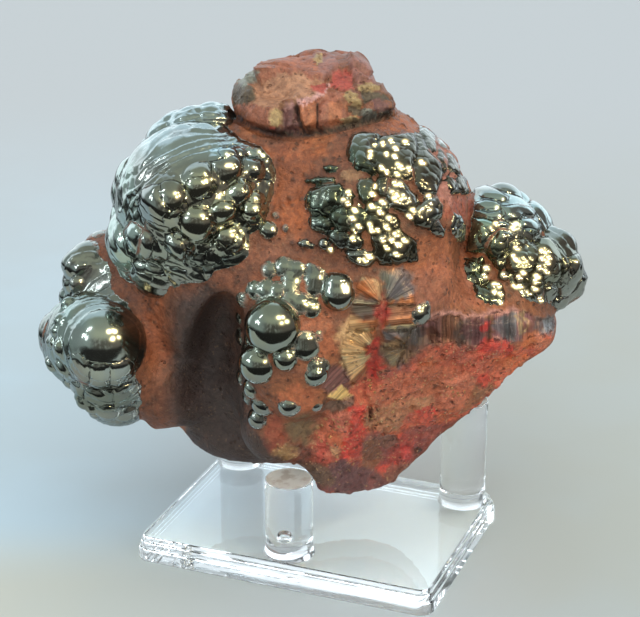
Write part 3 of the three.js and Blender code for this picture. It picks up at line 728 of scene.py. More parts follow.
# Faces of the broken cap: lift in mm, its rise to the right and downwards in mm a pixel, colour, outline.
CAP_FACES = [
    (0.0, 0.00, 0.02, "tan", [(240, 104), (256, 78), (282, 62), (300, 55), (310, 58), (312, 76), (326, 84), (318, 98), (300, 104), (282, 110), (262, 112), (246, 110)]),
    # the dark bark face on the left is painted shade on a face turned away from the light, and the pale fog face after
    # it is a painted highlight on the rim
    (0.3, 0.05, -0.03, "bark", [(226, 92), (233, 86), (240, 82), (251, 86), (257, 94), (254, 101), (243, 105), (233, 107), (226, 104)]),
    (0.4, 0.00, 0.05, "fog", [(235, 82), (249, 72), (260, 70), (258, 79), (250, 84), (243, 86)]),
    (0.5, -0.03, 0.03, "clay", [(256, 76), (264, 68), (280, 58), (296, 52), (304, 60), (301, 70), (292, 76), (283, 72), (270, 78), (262, 84)]),
    (0.1, 0.02, -0.02, "clay", [(230, 106), (240, 104), (250, 103), (262, 106), (272, 108), (270, 120), (264, 131), (256, 134), (244, 126), (234, 116)]),
    (0.3, 0.00, -0.05, "scarlet", [(254, 133), (264, 129), (272, 127), (282, 129), (284, 141), (274, 142), (261, 140)]),
    (0.5, -0.08, 0.00, "brass", [(269, 110), (277, 108), (283, 112), (281, 121), (277, 128), (270, 125)]),
    (-0.4, 0.06, 0.00, "wine", [(283, 107), (296, 105), (301, 112), (300, 124), (299, 142), (287, 142), (284, 134), (281, 122)]),
    (-0.7, 0.00, 0.00, "umber", [(293, 106), (297, 105), (306, 122), (307, 134), (302, 132)]),
    (0.6, -0.05, 0.00, "flame", [(298, 104), (306, 105), (316, 108), (316, 124), (316, 140), (307, 141), (305, 128), (301, 116)]),
    (-0.8, 0.00, 0.00, "umber", [(316.2, 102), (318.6, 102), (319.2, 138), (316.8, 138)]),
    (0.3, 0.04, 0.00, "clay", [(319, 103), (327, 101), (329, 138), (319, 138)]),
    (0.0, -0.03, 0.00, "flame", [(328, 101), (342, 103), (342, 117), (340, 134), (330, 136)]),
    (0.5, 0.00, 0.06, "brass", [(344, 92), (350, 91), (357, 95), (362, 101), (361, 108), (352, 106), (346, 101), (343, 96)]),
    (-0.6, 0.00, 0.00, "bark", [(347, 106), (356, 106), (364, 109), (364, 115), (356, 117), (348, 113)]),
    (0.3, 0.00, -0.03, "brass", [(341, 118), (349, 116), (357, 117), (363, 121), (360, 130), (349, 131), (341, 133)]),
    (0.2, -0.03, 0.00, "fog", [(363, 108), (370, 109), (377, 112), (378, 122), (372, 128), (363, 128)]),
    (0.0, 0.04, 0.00, "wine", [(372, 99), (381, 98), (389, 103), (389, 112), (380, 113), (374, 108)]),
    (0.3, -0.04, 0.02, "moss", [(380, 113), (389, 111), (398, 113), (404, 122), (392, 126), (379, 126)]),
    (-0.3, 0.00, -0.04, "scarlet", [(330, 72), (344, 68), (353, 76), (353, 88), (342, 92), (331, 86)]),
    (0.3, 0.02, 0.04, "rose", [(308, 54), (322, 50), (336, 56), (339, 68), (331, 74), (322, 82), (313, 76), (309, 66)]),
    (0.4, -0.05, 0.02, "rose", [(347, 58), (362, 56), (372, 66), (378, 80), (368, 86), (357, 84), (352, 74)]),
    (0.3, 0.00, 0.06, "brass", [(358, 84), (368, 83), (380, 86), (379, 91), (366, 92), (358, 90)]),
    (-0.2, 0.03, -0.03, "bark", [(360, 92), (372, 92), (386, 94), (390, 101), (380, 98), (371, 100), (364, 104)]),
    (0.5, 0.00, 0.08, "shell", [(281, 106), (296, 100), (311, 97), (320, 90), (327, 82), (331, 84), (324, 94), (313, 102), (298, 105), (284, 110)]),
    (0.2, 0.00, 0.03, "scarlet", [(311, 86), (325, 83), (329, 87), (322, 92), (312, 92)]),
    (0.1, 0.03, 0.03, "clay", [(296, 52), (311, 53), (316, 62), (322, 76), (312, 80), (300, 72)]),
    (0.2, 0.00, 0.03, "brass", [(313, 54), (322, 52), (323, 62), (317, 65)]),
    (0.0, 0.02, 0.02, "clay", [(321, 96), (332, 90), (343, 93), (344, 102), (330, 100), (319, 102)]),
]
# The same for the broken face below.
FRACTURE_FACES = [
    (0.0, 0.00, 0.00, (174, 100, 74), [(366, 394), (380, 384), (400, 372), (440, 366), (470, 372), (478, 384), (470, 404), (446, 412), (420, 402), (400, 400), (384, 408), (374, 406)]),
    (0.2, 0.00, 0.00, (188, 112, 86), [(440, 380), (462, 374), (476, 380), (470, 400), (450, 408), (441, 402)]),
    (-0.2, 0.00, 0.00, (142, 96, 68), [(474, 386), (483, 392), (482, 401), (470, 409), (460, 414), (466, 402)]),
    (0.2, 0.00, 0.00, (168, 116, 86), [(384, 408), (392, 403), (402, 404), (412, 398), (434, 396), (436, 402), (424, 407), (412, 411), (404, 418), (399, 431), (386, 433), (372, 429), (365, 424), (380, 420)]),
    (-0.3, 0.00, 0.00, (132, 72, 66), [(402, 430), (418, 426), (440, 424), (460, 419), (442, 440), (428, 458), (412, 468), (404, 450)]),
    (0.0, 0.00, 0.00, (150, 72, 64), [(384, 446), (400, 438), (404, 432), (414, 436), (414, 460), (404, 466), (392, 462)]),
    (0.2, 0.00, 0.00, (170, 68, 64), [(401, 444), (411, 446), (412, 458), (405, 463), (401, 456)]),
    (0.1, 0.00, 0.00, (182, 82, 66), [(421, 408), (432, 406), (433, 420), (430, 426), (422, 424), (417, 424), (418, 416)]),
    (-0.4, 0.00, 0.00, (116, 82, 70), [(378, 434), (394, 435), (400, 443), (388, 449), (378, 446)]),
    (-0.2, 0.00, 0.00, (118, 82, 62), [(364, 440), (377, 438), (382, 456), (374, 468), (362, 468), (362, 455)]),
    (0.0, 0.00, 0.00, (104, 72, 74), [(332, 462), (346, 458), (352, 466), (372, 469), (385, 478), (402, 478), (400, 492), (362, 500), (340, 498), (330, 484), (322, 470)]),
    (0.0, 0.00, 0.00, (108, 86, 72), [(296, 464), (318, 464), (330, 468), (336, 482), (330, 488), (300, 476)]),
    (0.0, 0.00, 0.00, (122, 84, 72), [(384, 474), (392, 464), (410, 464), (420, 462), (404, 480), (390, 484)]),
    (0.3, 0.02, 0.00, (176, 70, 58), [(357, 405), (361, 420), (363, 430), (367, 434), (362, 440), (362, 455), (357, 460), (350, 459), (347, 450), (345, 440), (349, 430), (352, 420)]),
    (0.2, 0.00, 0.00, (182, 104, 86), [(330, 413), (350, 410), (356, 405), (352, 418), (346, 432), (336, 430), (328, 424)]),
    (0.3, 0.00, 0.00, (184, 100, 68), [(327, 434), (341, 434), (343, 446), (332, 448)]),
    (0.0, 0.00, 0.00, (176, 78, 66), [(316, 440), (327, 440), (333, 456), (330, 464), (318, 462)]),
    # the near-black faces that follow are a slit and small pits, sunk and painted dark: painted shade in them
    (-1.6, 0.00, 0.00, (34, 20, 18), [(369.2, 407), (372.0, 407), (372.6, 422), (369.6, 422)]),
    (-1.2, 0.00, 0.00, (40, 24, 20), [(414, 449), (418, 446), (423, 449), (420, 453), (415, 454)]),
    (-0.9, 0.00, 0.00, (70, 36, 30), [(450, 400.5), (453, 400), (454, 403), (451, 404)]),
    (-0.7, 0.00, 0.00, (84, 58, 44), [(475, 384), (482, 383), (482, 387), (476, 388)]),
    (-0.6, 0.00, 0.00, (90, 52, 40), [(432, 384), (436, 384), (437, 388), (433, 389)]),
    (-0.8, 0.00, 0.00, (60, 32, 26), [(375, 406), (379, 410), (378, 412), (374, 408)]),
    (0.0, 0.00, 0.00, (120, 80, 74), [(322, 376), (340, 366), (347, 372), (341, 386), (328, 396), (322, 390)]),
    (0.6, -0.04, 0.00, (212, 180, 114), [(327, 397), (338, 389), (341, 385), (346, 388), (349, 396), (342, 399), (334, 399)]),
    (-0.3, 0.00, 0.00, (114, 92, 80), [(327, 400), (342, 400), (354, 396), (353, 404), (344, 411), (330, 412), (326, 406)]),
]
LEFT_PLATES = [
    (0.6, 6, [(68, 357), (78, 354), (86, 360), (90, 363), (88, 384), (78, 378), (70, 368)]),
    (0.6, 6, [(91, 363), (100, 364), (108, 365), (109, 387), (98, 388), (89, 385)]),
    (0.6, 6, [(110, 365), (118, 365), (129, 361), (134, 366), (132, 376), (122, 384), (111, 387)]),
    (0.4, 5, [(66, 372), (76, 382), (84, 388), (82, 398), (72, 392), (64, 382)]),
    (0.4, 5, [(86, 388), (101, 392), (112, 391), (112, 406), (100, 405), (85, 400)]),
    (0.4, 5, [(114, 391), (124, 386), (136, 384), (139, 398), (128, 406), (114, 406)]),
]
CALM = [(118, 222), (140, 216), (160, 232), (196, 248), (250, 236), (262, 252), (250, 292), (118, 292)]
LEFT_SKIN = [(66, 262), (90, 250), (108, 262), (112, 290), (126, 304), (141, 326), (143, 352), (139, 366), (134, 378), (141, 388), (140, 410), (120, 424), (88, 420), (66, 398), (50, 384), (38, 350), (46, 330), (56, 300), (60, 276)]
DOME_SKIN = [(212, 100), (224, 106), (226, 120), (228, 132), (242, 139), (260, 146), (271, 157), (273, 180), (269, 206), (261, 226), (250, 234), (249, 254), (236, 266), (214, 270), (204, 282), (176, 286), (140, 286), (118, 276), (112, 240), (114, 200), (128, 160), (160, 124), (190, 104)]
RIGHT_FINE = [(462, 214), (500, 222), (540, 238), (572, 262), (574, 300), (540, 312), (460, 312)]
PLATE_ZONES = (
    (DOME_PLATES, 0, [(110, 60), (290, 60), (290, 300), (110, 300)]),
    (LEFT_PLATES, 0, [(40, 340), (150, 340), (150, 420), (40, 420)]),
    (MIDDLE_PLATES, 1, [(296, 122), (410, 118), (440, 118), (478, 176), (470, 250), (420, 272), (340, 272), (290, 256)]),
    (RIGHT_PLATES, 1, [(455, 250), (484, 253), (492, 261), (500, 269), (509, 274), (513, 286), (524, 298), (540, 306), (556, 308), (560, 318), (455, 318)]),
)


def plates(p, u, v, front):
    """Height and cover of the plates, and the zone in which only the plates are metal."""
    high = np.zeros(len(p), F32)
    cover = np.zeros(len(p), F32)
    only = np.zeros(len(p), F32)
    edge = np.full(len(p), 9.0, F32)
    number = 0
    for group, alone, zone in PLATE_ZONES:
        if alone:
            only = np.maximum(only, polygon(u, v, zone, 4.0) * (front > 0.02))
        for tall, soft, outline in group:
            number += 1
            pts = np.array(outline, float)
            lo, hi = pts.min(0) - 3, pts.max(0) + 3
            m = np.nonzero((front > 0.02) & (u > lo[0]) & (u < hi[0]) & (v > lo[1]) & (v < hi[1]))[0]
            if not len(m):
                continue
            d = (polygon(u[m], v[m], outline, 40.0) - 0.5) * 80.0 + (1.3 if alone else 1.1)
            t = np.clip(d / soft, 0, 1)
            # grow from each outline's middle, leaning a little its own way
            mid = pts.mean(0)
            rng = np.random.default_rng(number)
            a, b = rng.normal(0, 0.018, 2)
            lean = a * (u[m] - mid[0]) + b * (v[m] - mid[1])
            h = tall * t * (2 - t) + lean * t
            on = np.clip(d / 0.9 + 0.5, 0, 1)
            better = on > cover[m]
            high[m] = np.where(better, h, high[m])
            cover[m] = np.where(better, on, cover[m])
            edge[m] = np.minimum(edge[m], np.abs(d))
    return high, cover, only, edge


def broken_faces(u, v, front, faces):
    """The lift of the broken faces, and which face each point is on, or -1."""
    lift = np.zeros(len(u), F32)
    face = np.full(len(u), -1, int)
    for k, (rise, across, down, _, outline) in enumerate(faces):
        pts = np.array(outline, float)
        lo, hi = pts.min(0) - 2, pts.max(0) + 2
        m = np.nonzero((front > 0.02) & (u > lo[0]) & (u < hi[0]) & (v > lo[1]) & (v < hi[1]))[0]
        on = polygon(u[m], v[m], outline, 1.2)
        mid = pts.mean(0)
        here = rise + across * (u[m] - mid[0]) + down * (v[m] - mid[1])
        lift[m] = lift[m] * (1 - on) + here * on
        face[m[on > 0.5]] = k
    return lift, face


def zones(p, n):
    u, v, d = picture(p)
    w = 1.6
    u2 = u + w * noise(p, 2.6, 301) * 1.5
    v2 = v + w * noise(p, 2.6, 302) * 1.5
    view = unit(p - EYE32)
    front = ramp(-(n * view).sum(1), -0.05, 0.2)
    z = {}
    for name, outline in (
        ("fan_left", FAN_LEFT),
        ("fan_right", FAN_RIGHT),
        ("vein", VEIN),
        ("ledge", LEDGE),
        ("section", SECTION),
        ("half_ball", HALF_BALL),
        ("gold_chip", GOLD_CHIP),
        ("grey_chip", GREY_CHIP),
    ):
        z[name] = polygon(u2, v2, outline, 2.0) * front
    z["fracture"] = polygon(u2, v2, FRACTURE, 5.0) * front * ramp(p[:, 1], 30, 10)
    z["strata"] = polygon(u2, v2, STRATA, 8.0) * front
    z["front"] = front
    z["calm"] = polygon(u2, v2, CALM, 8.0) * front
    z["u"], z["v"] = u, v
    z["u2"], z["v2"] = u2, v2
    back = np.zeros(len(p), F32)
    for nx, ny, nz, dd in BREAKS[1:]:
        back = np.maximum(back, ramp(p @ np.array([nx, ny, nz], F32) - F32(dd), -3.2, -1.0))
    z["back"] = np.maximum(back * (1 - front * 0), ramp(p[:, 1], 14, 26) * ramp(n[:, 1], 0.1, 0.5))
    c = cap(p)
    m = masses(p)
    z["cap"] = ramp(m - c, -0.1, 0.4) * (c < 3)
    # where the skin is whole, and where it is made of fine cells
    z["skin"] = np.maximum(polygon(u2, v2, DOME_SKIN, 3.0) * np.maximum(front, ramp(p[:, 1], 4, -2)), polygon(u2, v2, LEFT_SKIN, 3.0) * front)
    z["skin"] = np.maximum(z["skin"], polygon(u2, v2, [(126, 214), (158, 214), (164, 262), (128, 262)], 2.0) * front)
    z["fine"] = np.maximum(polygon(u, v, PLATE_ZONES[2][2], 6.0), polygon(u, v, RIGHT_FINE, 6.0)) * front
    w2 = 1.3 * noise(p, 2.2, 303)
    z["high"], z["cover"], z["only"], z["edge"] = plates(p, u + w2, v + 1.3 * noise(p, 2.2, 304), front)
    a, b = 1.0 * noise(p, 2.4, 305), 1.0 * noise(p, 2.4, 306)
    z["lift"], z["face"] = broken_faces(u + a, v + b, front, CAP_FACES)
    z["low_lift"], z["low_face"] = broken_faces(u + a, v + b, front * ramp(p[:, 1], 30, 10), FRACTURE_FACES)
    z["groove"] = polygon(u, v, GROOVE, 9.0) * front
    z["seam"] = ramp(np.abs(m - c), 1.5, 0.4) * (c < 2) * (m < 2) * ramp(v, 92, 100) * front
    return z


def fibres(z):
    """A number that rises by one from each fine fibre to the next, in every zone that has fibres."""
    u, v = z["u"], z["v"]
    top = np.arctan2(v - 304, u - 383) * 13
    flat = v / 1.9 + (u - 383) * 0.05
    left = np.arctan2(v - 353, u - 380) * 17
    right = np.arctan2(v - 347, u - 411) * 13
    fan = np.where(v < 305, top, np.where(v < 331, flat, np.where(u < 381, left, right)))
    column = u / 1.9 + 0.6 * line_noise(v / 9.0, 87)
    cap_ray = np.arctan2(u - 307, (v - 68) * 1.15) * 19
    arc = np.hypot(u - 281, v - 414) / 2.2
    chip = (u + v) / 2.2
    out = np.where(z["ledge"] > 0.3, column, fan)
    out = np.where(z["cap"] > 0.3, cap_ray, out)
    out = np.where(z["section"] > 0.3, arc, out)
    return np.where(np.maximum(z["gold_chip"], z["half_ball"]) > 0.3, chip, out)


def displace(p, n, near):
    """How far each point moves out, in millimetres."""
    z = zones(p, n)
    m1, m2, _ = near.two(p)
    body = np.minimum(masses(p), cap(p))
    metal = ramp(body - m1, -0.15, 0.15)
    metal = np.maximum(metal, z["skin"])
    metal = metal * (1 - z["only"]) + z["cover"] * z["only"]
    matrix = 1 - metal
    out = np.zeros(len(p), F32)

    # growth terraces on the lobes' flanks: each layer ends in a small step
    for centre, lobe, reach, start, period, height in (
        (at(203, 190, -24), (-31, -3, 98), 31, 14.5, 3.1, 0.45),
        (at(107, 343, -24), (-56, -2, 59), 27, 9.5, 2.9, 0.58),
        (at(512, 262, -6), (53, 8, 74), 24, 11.0, 3.2, 0.40),
    ):
        q = p - centre.astype(F32)
        r = np.linalg.norm(q, axis=1) + 1.3 * noise(p, 9.0, 41) + 0.15 * noise(p, 3.2, 42)
        near_lobe = ramp(np.linalg.norm(p - np.array(lobe, F32), axis=1), reach, reach - 4)
        t = r / period
        t = t - np.floor(t)
        saw = np.where(t < 0.80, t / 0.80, (1 - t) / 0.20)
        out += metal * near_lobe * (1 - 0.4 * z["calm"]) * ramp(r, start, start + 2.5) * height * (saw - 0.5)
    # wavy strata on the top of the upper left lobe
    q = z["v"] + 0.25 * z["u"] * (z["u"] < 175) + 9.0 * noise(p, 11.0, 48) + 3.0 * noise(p, 4.0, 49)
    q = np.hypot(z["u"] - 222, (z["v"] - 226) * 1.25) + 7.0 * noise(p, 9.0, 48) + 2.5 * noise(p, 3.6, 49)
    t = q / 7.5
    t = t - np.floor(t)
    saw = np.where(t < 0.72, t / 0.72, (1 - t) / 0.28)
    out += metal * z["strata"] * (1 - z["cover"]) * (0.55 * (saw - 0.5) + 0.3 * (line_noise(q / 3.1, 46) - 0.5))
    # soft dents and facets that break the mirror up
    out += z["high"] * metal - 0.35 * z["only"] * matrix
    d, who = cells(p, 3.3, 45)
    out += metal * z["fine"] * (0.1 - 0.5 * d * d)
    d, who = cells(p, 4.6, 47)
    out += metal * (1 - z["fine"]) * (1 - 0.65 * z["calm"]) * (0.09 * noise(p, 3.6, 43) + 0.02 * noise(p, 1.7, 44) + 0.07 * (0.5 - d) * (who > 0.35))

    # the matrix: gentle lumps, small pits and knobs
    lump = 0.60 * noise(p, 7.5, 51) + 0.36 * noise(p, 3.4, 52) + 0.16 * noise(p, 1.7, 53)
    hole, hid = cells(p, 4.1, 57)
    lump -= (hid > 0.62) * ramp(hole, 0.34, 0.08) * 0.8
    d, who = cells(p, 2.9, 61)
    bead = (who > 0.55) * np.sqrt(np.clip(1 - (d / 0.27) ** 2, 0, 1)) * 0.55
    lump = (lump - 0.30) * (0.25 + 0.75 * ramp(m1, 0.2, 1.8)) - 0.15
    calm = matrix * (1 - z["fracture"]) * (1 - z["cap"]) * (1 - z["back"]) * (1 - 0.8 * z["groove"])
    out += calm * (lump + bead * (1 - np.clip(z["fan_left"] + z["fan_right"] + z["ledge"] + z["section"] + z["half_ball"], 0, 1)))

    # broken grain
    rough = matrix * np.clip(z["fracture"] + 0.85 * z["back"], 0, 1) * (1 - z["cap"])
    g1, i1 = cells(p + 0.8 * noise(p, 3.0, 70)[:, None], 5.2, 71)
    g2, i2 = cells(p, 2.5, 72)
    grain = 0.8 * noise(p, 9.0, 73) + 1.1 * (i1 - 0.5) + 0.55 * (i2 - 0.5) + 0.45 * (0.45 - g1) + 0.5 * (0.45 - g2) + 0.25 * noise(p, 1.3, 74)
    pit, pid = cells(p, 4.2, 75)
    grain -= (pid > 0.74) * ramp(pit, 0.38, 0.1) * 1.9
    out += rough * (1 - z["ledge"]) * (grain - 0.25)
    out += matrix * (1 - z["cap"]) * z["low_lift"]

    # the fans of fibres: bundles at different heights, and fine fibres on them
    a = fibres(z)
    fan = np.clip(z["fan_left"] + z["fan_right"], 0, 1) * matrix
    wide = step_noise(a / 4.3 + 0.2 * noise(p, 3, 81), 82)
    fine = line_noise(a * 0.7, 83)
    out += fan * (0.6 + 1.5 * (wide - 0.5) + 0.5 * (fine - 0.5))
    out -= z["vein"] * 1.0 * matrix

    # the ledge: columns of fibres that stand upright under the lip
    x = z["u2"]
    col = step_noise(x / 10.5 + 0.25 * noise(p, 4, 84), 85)
    out += z["ledge"] * matrix * (-1.5 + 1.9 * (col - 0.5) + 0.5 * (line_noise(a * 0.7, 86) - 0.5))

    # the cap: wedges that run out from its middle
    cu, cv = z["u"] - 307, (z["v"] - 68) * 1.15
    ang = np.arctan2(cu, cv)
    far = np.hypot(cu, cv)
    wedge = step_noise(ang * 4.6 + 0.35 * noise(p, 4, 91), 92)
    low = ramp(far, 26, 42) * z["front"]
    scoop = ramp(np.hypot((z["u"] - 276) / 24, (z["v"] - 92) / 15), 1.15, 0.0) * z["front"]
    g1, i1 = cells(p, 7.5, 94)
    broken = 0.9 * noise(p, 9, 95) + 1.3 * (i1 - 0.5) + 0.7 * (0.5 - g1) + 0.3 * noise(p, 2.0, 96)
    out += z["cap"] * (low * (1.5 * (wedge - 0.5) + 0.4 * (line_noise(a * 0.6, 93) - 0.5)) + (0.75 - 0.45 * low) * broken)
    out += z["cap"] * (2.1 * z["lift"] - 2.8 * scoop)
    # the joint under its rim
    out -= z["seam"] * 1.3

    # flat broken faces
    out -= z["section"] * matrix * 0.3
    return out


def dome_rim(p):
    """How far the upper left dome's right side stands proud of the neck beside it, towards the eye."""
    u, v, _ = picture(p)
    skin = polygon(u, v, DOME_SKIN, 2.5) * ramp(p[:, 1], -5, -10)
    return (2.3 + 0.7 * ramp(v, 166, 146)) * skin * ramp(u, 226, 250) * (0.45 + 0.55 * ramp(u, 274, 256)) * ramp(v, 122, 140) * ramp(v, 236, 212)


def build_stone():
    h = 0.5
    co, quads = surface_nets(h)
    near = Near(co)
    for _ in range(3):
        f = near.solid(co)
        g = gradient(near.solid, co, 0.2)
        m = np.linalg.norm(g, axis=1, keepdims=True)
        co = co - np.clip(f[:, None], -0.6, 0.6) * g / np.maximum(m * m, 0.25)
    n = unit(gradient(near.solid, co, 0.35))
    proud = dome_rim(co)
    co = co + n * displace(co, n, near)[:, None]
    co = co - unit(co - EYE32) * proud[:, None]
    # the broken end reaches a little lower
    u, v, _ = picture(co)
    co[:, 2] -= 1.7 * ramp(v, 460, 482) * ramp(np.abs(u - 366), 62, 30)
    return co, quads


def mesh_from(name, co, faces):
    mesh = bpy.data.meshes.new(name)
    faces = np.asarray(faces)
    k = faces.shape[1]
    mesh.vertices.add(len(co))
    mesh.vertices.foreach_set("co", np.ascontiguousarray(co, F32).ravel())
    mesh.loops.add(faces.size)
    mesh.loops.foreach_set("vertex_index", faces.astype(np.int32).ravel())
    mesh.polygons.add(len(faces))
    mesh.polygons.foreach_set("loop_start", np.arange(0, faces.size, k, dtype=np.int32))
    mesh.update(calc_edges=True)
    mesh.validate()
    return mesh


# Tiny low beads that stand on the finest skin: place in the picture, radius in mm.
BEADS = [
    (382.6, 143.4, 0.85), (374.4, 146, 0.7), (391, 142, 0.7), (405, 142.6, 1.0), (395.4, 149.4, 0.95), (370.4, 153, 0.6), (369, 158, 0.6), (386, 155, 0.9),
    (394, 157.4, 0.85), (398, 165, 1.0), (402, 168, 0.8), (381.6, 167.6, 0.95), (386.6, 171.6, 0.65), (408.6, 169, 0.9), (421, 162.6, 0.9), (396.4, 174.6, 0.85),
    (394.4, 183.6, 0.9), (400.6, 185, 0.95), (374.6, 187, 0.65), (371.6, 194.6, 0.8), (392.4, 193, 1.0), (397.4, 195, 1.0), (395, 199.6, 0.9), (348, 193.6, 0.95),
    (343, 201.4, 1.0), (347, 203.4, 0.9), (381.6, 202.6, 1.0), (360, 206, 0.65), (371.6, 206, 0.8), (428, 197.6, 0.75), (354.4, 211, 0.8), (380, 212.4, 0.9),
    (412.6, 210.4, 0.8), (409, 216, 0.9), (351.6, 219.4, 1.0), (348.6, 222, 0.8), (388.2, 218.4, 0.9), (358.4, 227, 0.9), (370, 225.6, 0.9), (371.4, 231, 0.8),
    (386, 227.4, 0.9), (377.6, 230.4, 0.6), (397.4, 231, 0.65), (355, 231.4, 0.6), (395, 235.4, 0.9), (352.4, 239.6, 0.95), (382.4, 239.4, 1.0), (391.4, 241.6, 0.65),
    (404, 240.6, 0.85), (397.6, 245.6, 0.8), (386, 248, 0.8), (396, 254.4, 0.9), (360, 261, 1.0), (365, 260, 0.9), (369, 257, 0.8), (330.6, 249.6, 0.6),
    (495.8, 225, 1.15), (491.8, 229.4, 0.7), (513.3, 228.3, 0.8), (516.3, 248.3, 1.1), (514.2, 257, 1.0), (516.4, 260.6, 0.9), (541.7, 251.3, 1.0), (541.8, 259.7, 1.1),
    (549.7, 257.6, 1.05), (547.8, 263.4, 1.1), (539.7, 268.3, 1.15), (546.2, 271.7, 1.05), (486.3, 268.8, 1.05), (484.2, 277, 1.1), (503.8, 275.8, 1.15), (522.5, 273.3, 0.9),
    (519.6, 278, 1.1), (536.7, 276.7, 1.05), (535.2, 281.9, 0.95), (493.8, 285.8, 0.9), (498.6, 285.8, 0.95), (515.4, 286.3, 0.9), (520.2, 286.3, 0.9), (533.7, 289.2, 1.1),
    (494.8, 293.3, 0.8), (500.2, 294.2, 0.95), (528.3, 293.3, 1.0), (540.3, 299.2, 1.0), (500, 303, 0.6),
]


def with_beads(mesh):
    """The same mesh with the beads added at its end, and how many points they have. Each is a low cap on a short foot."""
    co = positions(mesh)
    tri = np.empty(len(mesh.loops), np.int32)
    mesh.loops.foreach_get("vertex_index", tri)
    tri = tri.reshape(-1, 3)
    tree = BVHTree.FromPolygons(co.tolist(), tri.tolist())
    steps, around = (0.3, 0.58, 0.82, 1.0), 12
    turn = np.arange(around) * 2 * math.pi / around
    ring = lambda k, j: 1 + k * around + j % around
    faces = [(0, ring(0, j), ring(0, j + 1)) for j in range(around)]
    for k in (0, 1, 2, 4):
        for j in range(around):
            a, b, c, d = ring(k, j), ring(k, j + 1), ring(k + 1, j), ring(k + 1, j + 1)
            faces += [(a, c, d), (a, d, b)]
    foot = 1 + 6 * around
    faces += [(ring(5, j + 1), ring(5, j), foot) for j in range(around)]
    faces = np.array(faces)
    rng = np.random.default_rng(77)
    more, tris, count = [co], [tri], len(co)
    for x, y, r in BEADS:
        way = unit(at(x, y, 0.0) - EYE)
        hit, n, _, _ = tree.ray_cast(Vector(EYE), Vector(way))
        if hit is None:
            continue
        n = np.array(n)
        up = unit(np.array((0.562, -0.582, 0.588)) - way + rng.normal(0, 0.05, 3))
        bend = 3.6
        side = unit(np.cross(up, (0.0, 0.0, 1.0)))
        other = np.cross(side, up)
        flat = [side * math.cos(q) + other * math.sin(q) for q in turn]
        mid = np.array(hit) + up * (0.10 + 0.75 * r * math.sqrt(max(0.0, 1 - float(n @ up) ** 2)))
        mid = mid - up * (bend - math.sqrt(bend * bend - r * r))
        spots = [mid + up * (bend - math.sqrt(bend * bend - r * r))]
        for t in steps:
            a = r * t
            spots += [mid + up * (math.sqrt(bend * bend - a * a) - math.sqrt(bend * bend - r * r)) + f * a for f in flat]
        spots += [mid + f * r for f in flat]
        spots += [mid + f * r * 1.05 - up * 0.35 - n * 1.1 for f in flat]
        spots.append(mid - n * 1.5)
        more.append(np.array(spots))
        tris.append(faces + count)
        count += len(spots)
    name = mesh.name
    return mesh_from(name + "_beaded", np.vstack(more), np.vstack(tris)), count - len(co)


def positions(mesh):
    co = np.empty(len(mesh.vertices) * 3, F32)
    mesh.vertices.foreach_get("co", co)
    return co.reshape(-1, 3)


def lin(r, g, b):
    """sRGB from 0 to 255, to linear."""
    c = np.array([r, g, b], float) / 255
    return np.where(c < 0.04045, c / 12.92, ((c + 0.055) / 1.055) ** 2.4)


# ------------------------------------------------------------------ colours, as zones with broken edges
COLOURS = {
    "rust": lin(150, 84, 54),
    "orange": lin(186, 102, 56),
    "salmon": lin(200, 118, 88),
    "pink": lin(205, 136, 120),
    "red": lin(196, 50, 44),
    "brick": lin(168, 78, 56),
    "brown": lin(116, 70, 50),
    "umber": lin(72, 56, 48),
    "plum": lin(104, 64, 62),
    "grey": lin(126, 120, 108),
    "slate": lin(112, 112, 112),
    "gold": lin(200, 164, 116),
    "olive": lin(120, 104, 74),
    "moss": lin(92, 100, 84),
    "painted_shade": lin(30, 27, 26),
    "tan": lin(182, 124, 90),
    "straw": lin(226, 180, 124),
    "clay": lin(166, 96, 70),
    "bark": lin(88, 78, 60),
    "fog": lin(142, 140, 122),
    "scarlet": lin(186, 78, 64),
    "brass": lin(180, 142, 92),
    "wine": lin(118, 74, 68),
    "flame": lin(186, 106, 68),
    "rose": lin(172, 120, 110),
    "shell": lin(214, 152, 136),
}
